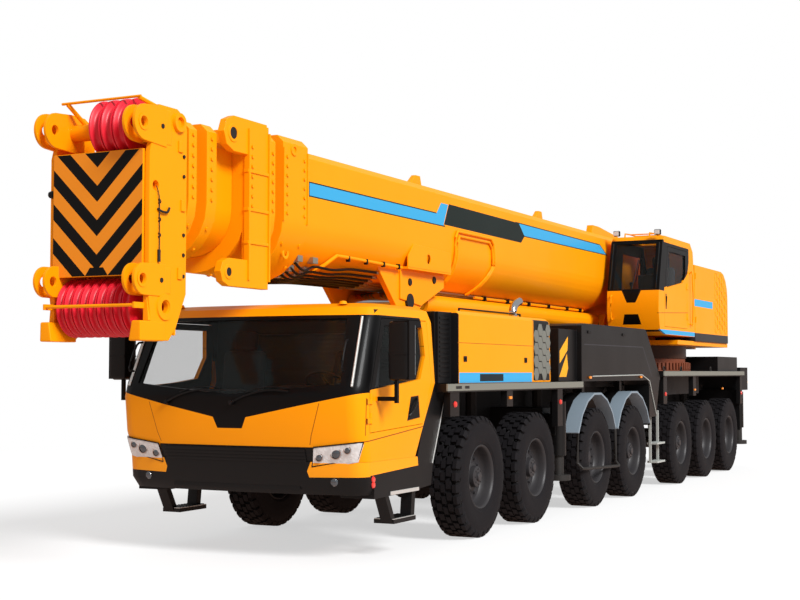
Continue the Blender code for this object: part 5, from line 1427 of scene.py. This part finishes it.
@dataclass(frozen=True)
class Superstructure:
    """Slewing ring, machinery covers' details and the hoist winch."""

    def ring(self) -> None:
        """The slewing ring with its teeth and bolts."""
        profile = [(1.02, 1.812), (1.02, 2.018), (1.20, 2.018), (1.20, 1.96), (1.262, 1.955), (1.262, 1.83),
                   (1.295, 1.825), (1.295, 1.812)]
        stock = Stock().turned(profile, (0.0, 9.2, 0.0), (0, 0, 1), 96, closed=True)
        count = 96
        for index in range(count):
            angle = math.tau * index / count
            turn = Matrix.Rotation(angle, 4, "Z")
            middle = turn @ Vector((1.272, 0, 1.89)) + Vector((0, 9.2, 0))
            stock.block(tuple(middle - Vector((0.018, 0.022, 0.055))), tuple(middle + Vector((0.018, 0.022, 0.055))),
                        0.0, turn)
        stock.piece("slewing_ring", PRIMED_STEEL, "carrier", ("slew_ring",))
        bolts = Stock()
        for index in range(48):
            angle = math.tau * index / 48
            x, s = 1.13 * math.cos(angle), 9.2 + 1.13 * math.sin(angle)
            bolts.bar((x, s, 2.238), (x, s, 2.262), 0.020, 6)
        bolts.piece("turntable_bolts", ZINC_PLATE, "superstructure")

    def covers(self) -> None:
        """Honeycomb panels, louvres, hinges and lifting eyes on the machinery covers."""
        cells = Stock()
        for row in range(7):
            for column in range(5):
                s = 10.55 + column * 0.175
                z = 2.56 + row * 0.152 + (0.076 if column % 2 else 0.0)
                if s > 11.28 or math.hypot(max(0, s - 10.95), max(0, z - 3.12)) > 0.36:
                    continue
                cells.plate(View.SIDE, circle((s, z), 0.098, 6), 1.446, 1.456, 0.004,
                            (circle((s, z), 0.084, 6),))
        cells.twin().piece("cover_honeycomb", YELLOW_ENAMEL, "superstructure")
        louvres = Stock()
        for index in range(10):
            z = 2.62 + index * 0.055
            louvres.block((0.85, 11.426, z), (1.36, 11.442, z + 0.030), 0.004)
        louvres.twin().piece("cover_louvres", MOULDED_PLASTIC, "superstructure")
        small = Stock()
        for s in (9.30, 10.60):
            small.turned([(0.045 + 0.011 * math.cos(math.tau * i / 8), 0.011 * math.sin(math.tau * i / 8))
                          for i in range(8)], (1.10, s, 3.635), (1, 0, 0), 20, closed=True)
        for z in (2.62, 3.36):
            small.bar((1.456, 9.12, z), (1.456, 9.12, z + 0.10), 0.012, 10)
        small.pipe([(0.86, 9.16, 3.60), (0.86, 9.17, 3.72), (0.86, 10.85, 3.72), (0.86, 10.95, 3.58)], 0.014, 8)
        small.twin().piece("cover_eyes_and_rails", YELLOW_ENAMEL, "superstructure")

    def winch(self) -> None:
        """The hoist drum wound with rope between its flanges."""
        centre = (0.0, 11.45, 2.75)
        drum = [(0.0, -0.4995), (0.328, -0.4995), (0.328, -0.470), (0.15, -0.470), (0.15, 0.470), (0.328, 0.470),
                (0.328, 0.4995), (0.0, 0.4995)]
        stock = Stock().turned(drum, centre, (1, 0, 0), 56)
        for sign in (-1, 1):
            for index in range(10):
                angle = math.tau * index / 10
                y, z = 0.10 * math.cos(angle), 0.10 * math.sin(angle)
                stock.bar((sign * 0.495, 11.45 + y, 2.75 + z), (sign * 0.4998, 11.45 + y, 2.75 + z), 0.014, 6)
        stock.piece("hoist_drum", YELLOW_ENAMEL, "winch", ("winch_drum",))
        pitch, turns = 0.0235, 39
        low = -pitch * turns / 2
        rope = [(0.16, low)]
        for index in range(turns):
            middle = low + pitch * (index + 0.5)
            rope += [(0.255 + radius, middle + along) for radius, along in
                     ((0.0, -0.0110), (0.007, -0.0080), (0.0105, 0.0), (0.007, 0.0080), (0.0, 0.0110))]
        rope.append((0.16, -low))
        Stock().turned(rope, centre, (1, 0, 0), 48, closed=True).piece("hoist_rope", WIRE_ROPE, "winch", crease=60)

    def build(self) -> None:
        """Make the ring, the covers' details and the winch."""
        self.ring()
        self.covers()
        self.winch()


# -------------------------------------------------------------------------- carrier


@dataclass(frozen=True)
class Carrier:
    """Details on the deck, hood, mudguards and tail of the carrier."""

    cell: float = 0.088

    def honeycomb(self) -> None:
        """The pale honeycomb panel at the hood's rear."""
        cells = Stock()
        step, rise = self.cell * 1.5, self.cell * math.sqrt(3)
        for column in range(6):
            for row in range(5):
                s = 1.64 + column * step
                z = 1.765 + row * rise + (rise / 2 if column % 2 else 0)
                if s > 2.10 or z > 2.36:
                    continue
                cells.plate(View.SIDE, circle((s, z), self.cell * 0.93, 6), 1.448, 1.462, 0.008)
        cells.twin().piece("hood_honeycomb", CELL_GREY, "carrier")

    def deck(self) -> None:
        """Lamps on the hangers, catches, ladder, rails, tie-down rings and exhaust."""
        red, amber = Stock(), Stock()
        for s, z in ((-0.735, 1.455), (2.45, 1.42), (7.20, 1.45), (12.38, 1.40)):
            red.turned(((0, 0.018), (0.026, 0.015), (0.034, 0.0), (0, -0.004)), (1.462, s, z), (1, 0, 0), 20)
        for s in (0.79, 3.6, 5.9, 8.97, 10.9):
            z = 1.50 if s < 3 else 1.62 if s < 7 else 1.50
            if 3 < s < 7:
                z = 1.72
            amber.block((1.455, s - 0.035, z - 0.016), (1.476, s + 0.035, z + 0.016), 0.005)
        red.twin().piece("hanger_lamps", RED_LENS, "carrier")
        amber.twin().piece("side_marker_lamps", AMBER_LENS, "carrier")
        catches = Stock()
        for s in (-0.45, 1.30):
            catches.block((1.448, s - 0.04, 1.90), (1.459, s + 0.04, 1.96), 0.004)
            catches.bar((1.455, s, 1.93), (1.466, s, 1.93), 0.012, 12)
        for s in (3.6, 5.1):
            catches.block((1.448, s - 0.06, 2.30), (1.462, s + 0.06, 2.34), 0.004)
        catches.pipe([(1.0, 2.28, 2.44), (1.0, 2.26, 2.51), (1.0, 0.40, 2.51), (1.0, 0.38, 2.44)], 0.013, 8)
        catches.twin().piece("hood_catches_and_rails", MOULDED_PLASTIC, "carrier")
        silver = Stock()
        silver.pipe([(1.456, 3.72, 1.735), (1.456, 5.98, 1.75), (1.456, 6.36, 1.66), (1.456, 6.70, 1.16)], 0.008, 8)
        for z in (0.69, 0.41):
            silver.block((1.30, 6.72, z), (1.465, 7.14, z + 0.030), 0.006)
        for s in (6.72, 7.12):
            silver.block((1.33, s - 0.012, 0.41), (1.37, s + 0.012, 1.20), 0.004)
        silver.twin().piece("ladder_and_cover_line", PALE_MOULDING, "carrier")
        exhaust = Stock()
        exhaust.pipe([(0.98, 2.12, 2.42), (0.97, 2.10, 2.54), (0.97, 2.17, 2.63), (0.97, 2.32, 2.68)], 0.050, 20, 4)
        exhaust.piece("exhaust_pipe", CHROMED_STEEL, "carrier")
        rings = Stock()
        for s in (7.35, 8.35, 10.3, 11.9):
            rings.turned([(0.045 + 0.010 * math.cos(math.tau * i / 8), 0.010 * math.sin(math.tau * i / 8))
                          for i in range(8)], (1.40, s, 1.835), (1, 0, 0), 20, closed=True)
        for s in (0.2, 0.5, 3.1):
            rings.bar((1.463, s, 1.635), (1.468, s, 1.635), 0.014, 6)
        rings.twin().piece("tie_down_rings", CAST_STEEL, "carrier")

    def underside(self) -> None:
        """The side guard bars before the middle wheels and the air tanks under the rear deck."""
        stays = Stock()
        stays.pipe([(1.44, 3.15, 1.03), (1.44, 3.15, 0.62), (1.50, 3.155, 0.55), (1.515, 3.24, 0.545),
                    (1.515, 4.58, 0.50), (1.50, 4.69, 0.50), (1.44, 4.725, 0.56), (1.44, 4.725, 1.03)], 0.020, 8)
        stays.twin().piece("side_guard_bars", CAST_STEEL, "carrier")
        tanks = Stock()
        for low, high in ((7.15, 8.30), (8.45, 10.1), (10.25, 12.3)):
            for x in (0.40, 0.64):
                tanks.turned(((0, low), (0.09, low + 0.01), (0.14, low + 0.06), (0.14, high - 0.06),
                              (0.09, high - 0.01), (0, high)), (x, 0.0, 1.56), (0, 1, 0), 24)
        tanks.twin().piece("air_tanks", CHASSIS_ENAMEL, "carrier")

    def louvres(self) -> None:
        """Cooling grilles behind the driver's cab and in the covers."""
        stock = Stock()
        for index in range(13):
            z = 1.74 + index * 0.05
            stock.block((-1.32, -0.944, z), (1.32, -0.925, z + 0.026), 0.004)
            stock.block((1.352, -0.90, z), (1.368, -0.66, z + 0.026), 0.004)
            stock.block((-1.368, -0.90, z), (-1.352, -0.66, z + 0.026), 0.004)
        for index in range(14):
            stock.block((-1.10, 0.02 + index * 0.10, 2.438), (-0.25, 0.06 + index * 0.10, 2.452), 0.004)
            stock.block((0.25, 0.02 + index * 0.10, 2.438), (1.10, 0.06 + index * 0.10, 2.452), 0.004)
        stock.piece("engine_louvres", MOULDED_PLASTIC, "carrier")
        seams = Stock()
        for s in (4.3, 5.3):
            seams.block((-1.30, s - 0.012, 2.428), (1.30, s + 0.012, 2.438), 0.003)
        for index in range(12):
            seams.block((-0.9, 3.45 + index * 0.06, 2.43), (0.9, 3.475 + index * 0.06, 2.442), 0.003)
        seams.piece("middle_cover_louvres", MOULDED_PLASTIC, "carrier")

    def tail(self) -> None:
        """Rear lamps, reflectors, mud flaps, steps and the coupling's pin."""
        housings, red, amber, white = Stock(), Stock(), Stock(), Stock()
        housings.block((0.80, 13.115, 1.66), (1.40, 13.14, 1.82), 0.01)
        for x, which in ((0.90, white), (1.08, red), (1.20, red), (1.33, amber)):
            which.turned(((0, 0.018), (0.040, 0.014), (0.052, 0.0), (0, -0.004)), (x, 13.14, 1.74), (0, 1, 0), 24)
        housings.block((0.44, 12.425, 1.10), (1.42, 12.450, 1.46), 0.006)
        housings.block((1.02, 12.425, 0.70), (1.42, 12.437, 1.12), 0.004)
        housings.block((0.14, 13.118, 0.60), (0.60, 13.16, 0.64), 0.006)
        for x in (0.18, 0.56):
            housings.block((x - 0.015, 13.118, 0.62), (x + 0.015, 13.145, 1.46), 0.004)
        housings.twin().piece("tail_fittings", MOULDED_PLASTIC, "carrier")
        red.block((0.62, 13.118, 1.38), (0.78, 13.126, 1.44), 0.002)
        red.twin().piece("tail_lamps", RED_LENS, "carrier")
        amber.twin().piece("tail_indicators", AMBER_LENS, "carrier")
        white.twin().piece("reversing_lamps", REFLECTOR, "carrier")
        pin = Stock().bar((0, 13.24, 0.93), (0, 13.24, 1.26), 0.028, 20)
        pin.turned([(0.05 + 0.009 * math.cos(math.tau * i / 8), 0.009 * math.sin(math.tau * i / 8)) for i in range(8)],
                   (0, 13.24, 1.27), (1, 0, 0), 20, closed=True)
        pin.piece("coupling_pin", CHROMED_STEEL, "carrier")

    def build(self) -> None:
        """Make every detail of the carrier."""
        self.honeycomb()
        self.deck()
        self.underside()
        self.louvres()
        self.tail()


# --------------------------------------------------------------------------- studio


@dataclass(frozen=True)
class Studio:
    """Pale floor, soft light and the camera."""

    camera_place: Spot = (7.396, -18.065, 1.788)
    yaw: float = 26.6
    pitch: float = 3.0
    lens: float = 62.1
    sun_strength: float = 4.0
    sun_from: Spot = (0.75, -0.35, 0.6)
    sky: float = 0.48

    def camera(self) -> None:
        """Place the camera."""
        data = bpy.data.cameras.new("camera")
        data.lens = self.lens
        data.sensor_width = 36.0
        data.clip_end = 200.0
        made = bpy.data.objects.new("camera", data)
        yaw, pitch = math.radians(self.yaw), math.radians(self.pitch)
        look = Vector((-math.sin(yaw) * math.cos(pitch), math.cos(yaw) * math.cos(pitch), math.sin(pitch)))
        made.location = self.camera_place
        made.rotation_euler = look.to_track_quat("-Z", "Y").to_euler()
        bpy.context.scene.collection.objects.link(made)
        bpy.context.scene.camera = made

    def light(self) -> None:
        """Set the soft key light and a white room."""
        data = bpy.data.lights.new("key", "SUN")
        data.energy = self.sun_strength
        data.angle = 0.35
        key = bpy.data.objects.new("key", data)
        key.rotation_euler = Vector(self.sun_from).to_track_quat("Z", "Y").to_euler()
        bpy.context.scene.collection.objects.link(key)
        world = bpy.data.worlds.new("white_room")
        bpy.context.scene.world = world
        world.use_nodes = True
        tree = world.node_tree
        tree.nodes.clear()
        path = add_node(tree, "LightPath")
        seen = arithmetic(tree, "MAXIMUM", path.outputs["Is Camera Ray"], path.outputs["Is Transmission Ray"])
        strength = add_node(tree, "MapRange", {"Value": seen, "To Min": self.sky, "To Max": 1.0})
        room = add_node(tree, "Background", {"Color": (1, 1, 1, 1), "Strength": strength.outputs["Result"]})
        add_node(tree, "OutputWorld", {"Surface": room.outputs[0]})
        bpy.context.scene.view_settings.view_transform = "Standard"

    def floor(self) -> None:
        """Lay a pale floor that fades to white far from the crane."""
        bm = bmesh.new()
        bmesh.ops.create_grid(bm, x_segments=1, y_segments=1, size=90.0)
        mesh = bpy.data.meshes.new("floor")
        bm.to_mesh(mesh)
        bm.free()
        material = bpy.data.materials.new("pale_studio_floor")
        material.use_nodes = True
        tree = material.node_tree
        tree.nodes.clear()
        spot = add_node(tree, "TexCoord").outputs["Object"]
        reach = add_node(tree, "VectorMath", {0: spot}, operation="LENGTH").outputs["Value"]
        share = add_node(tree, "MapRange", {"Value": reach, "From Min": 9.0, "From Max": 16.0,
                                            "To Min": 0.58, "To Max": 1.0}, interpolation_type="SMOOTHSTEP")
        matt = add_node(tree, "BsdfDiffuse", {"Color": (0.93, 0.93, 0.93, 1)})
        seen = add_node(tree, "LightPath").outputs["Is Camera Ray"]
        tint = mixed(tree, seen, (0.62, 0.36, 0.26, 1), (1, 1, 1, 1))
        glow = add_node(tree, "Emission", {"Color": tint, "Strength": 1.0})
        blend = add_node(tree, "MixShader", {0: share.outputs["Result"], 1: matt.outputs[0], 2: glow.outputs[0]})
        add_node(tree, "OutputMaterial", {"Surface": blend.outputs[0]})
        mesh.materials.append(material)
        made = bpy.data.objects.new("floor", mesh)
        bpy.context.scene.collection.objects.link(made)

    def build(self) -> None:
        """Make the camera, the lights and the floor."""
        self.camera()
        self.light()
        self.floor()


def main() -> None:
    logging.basicConfig(level=logging.INFO, format="%(message)s")
    Studio().build()
    for axle in range(1, len(AXLES) + 1):
        for side in Side:
            Wheel(axle, side).build()
    for node, (finish, bevel) in NODE_FINISHES.items():
        refined(node, finish, bevel)
    for assembly in (CarrierCab(), Carrier(), OperatorCab(), Superstructure(), BoomFittings(), BoomHead()):
        assembly.build()
    left = [name for name in sorted(frame["nodes"]) if not frame["nodes"][name].hide_render]
    LOG.info("CAD nodes still shown: %s", left)


if __name__ == "__main__":
    main()
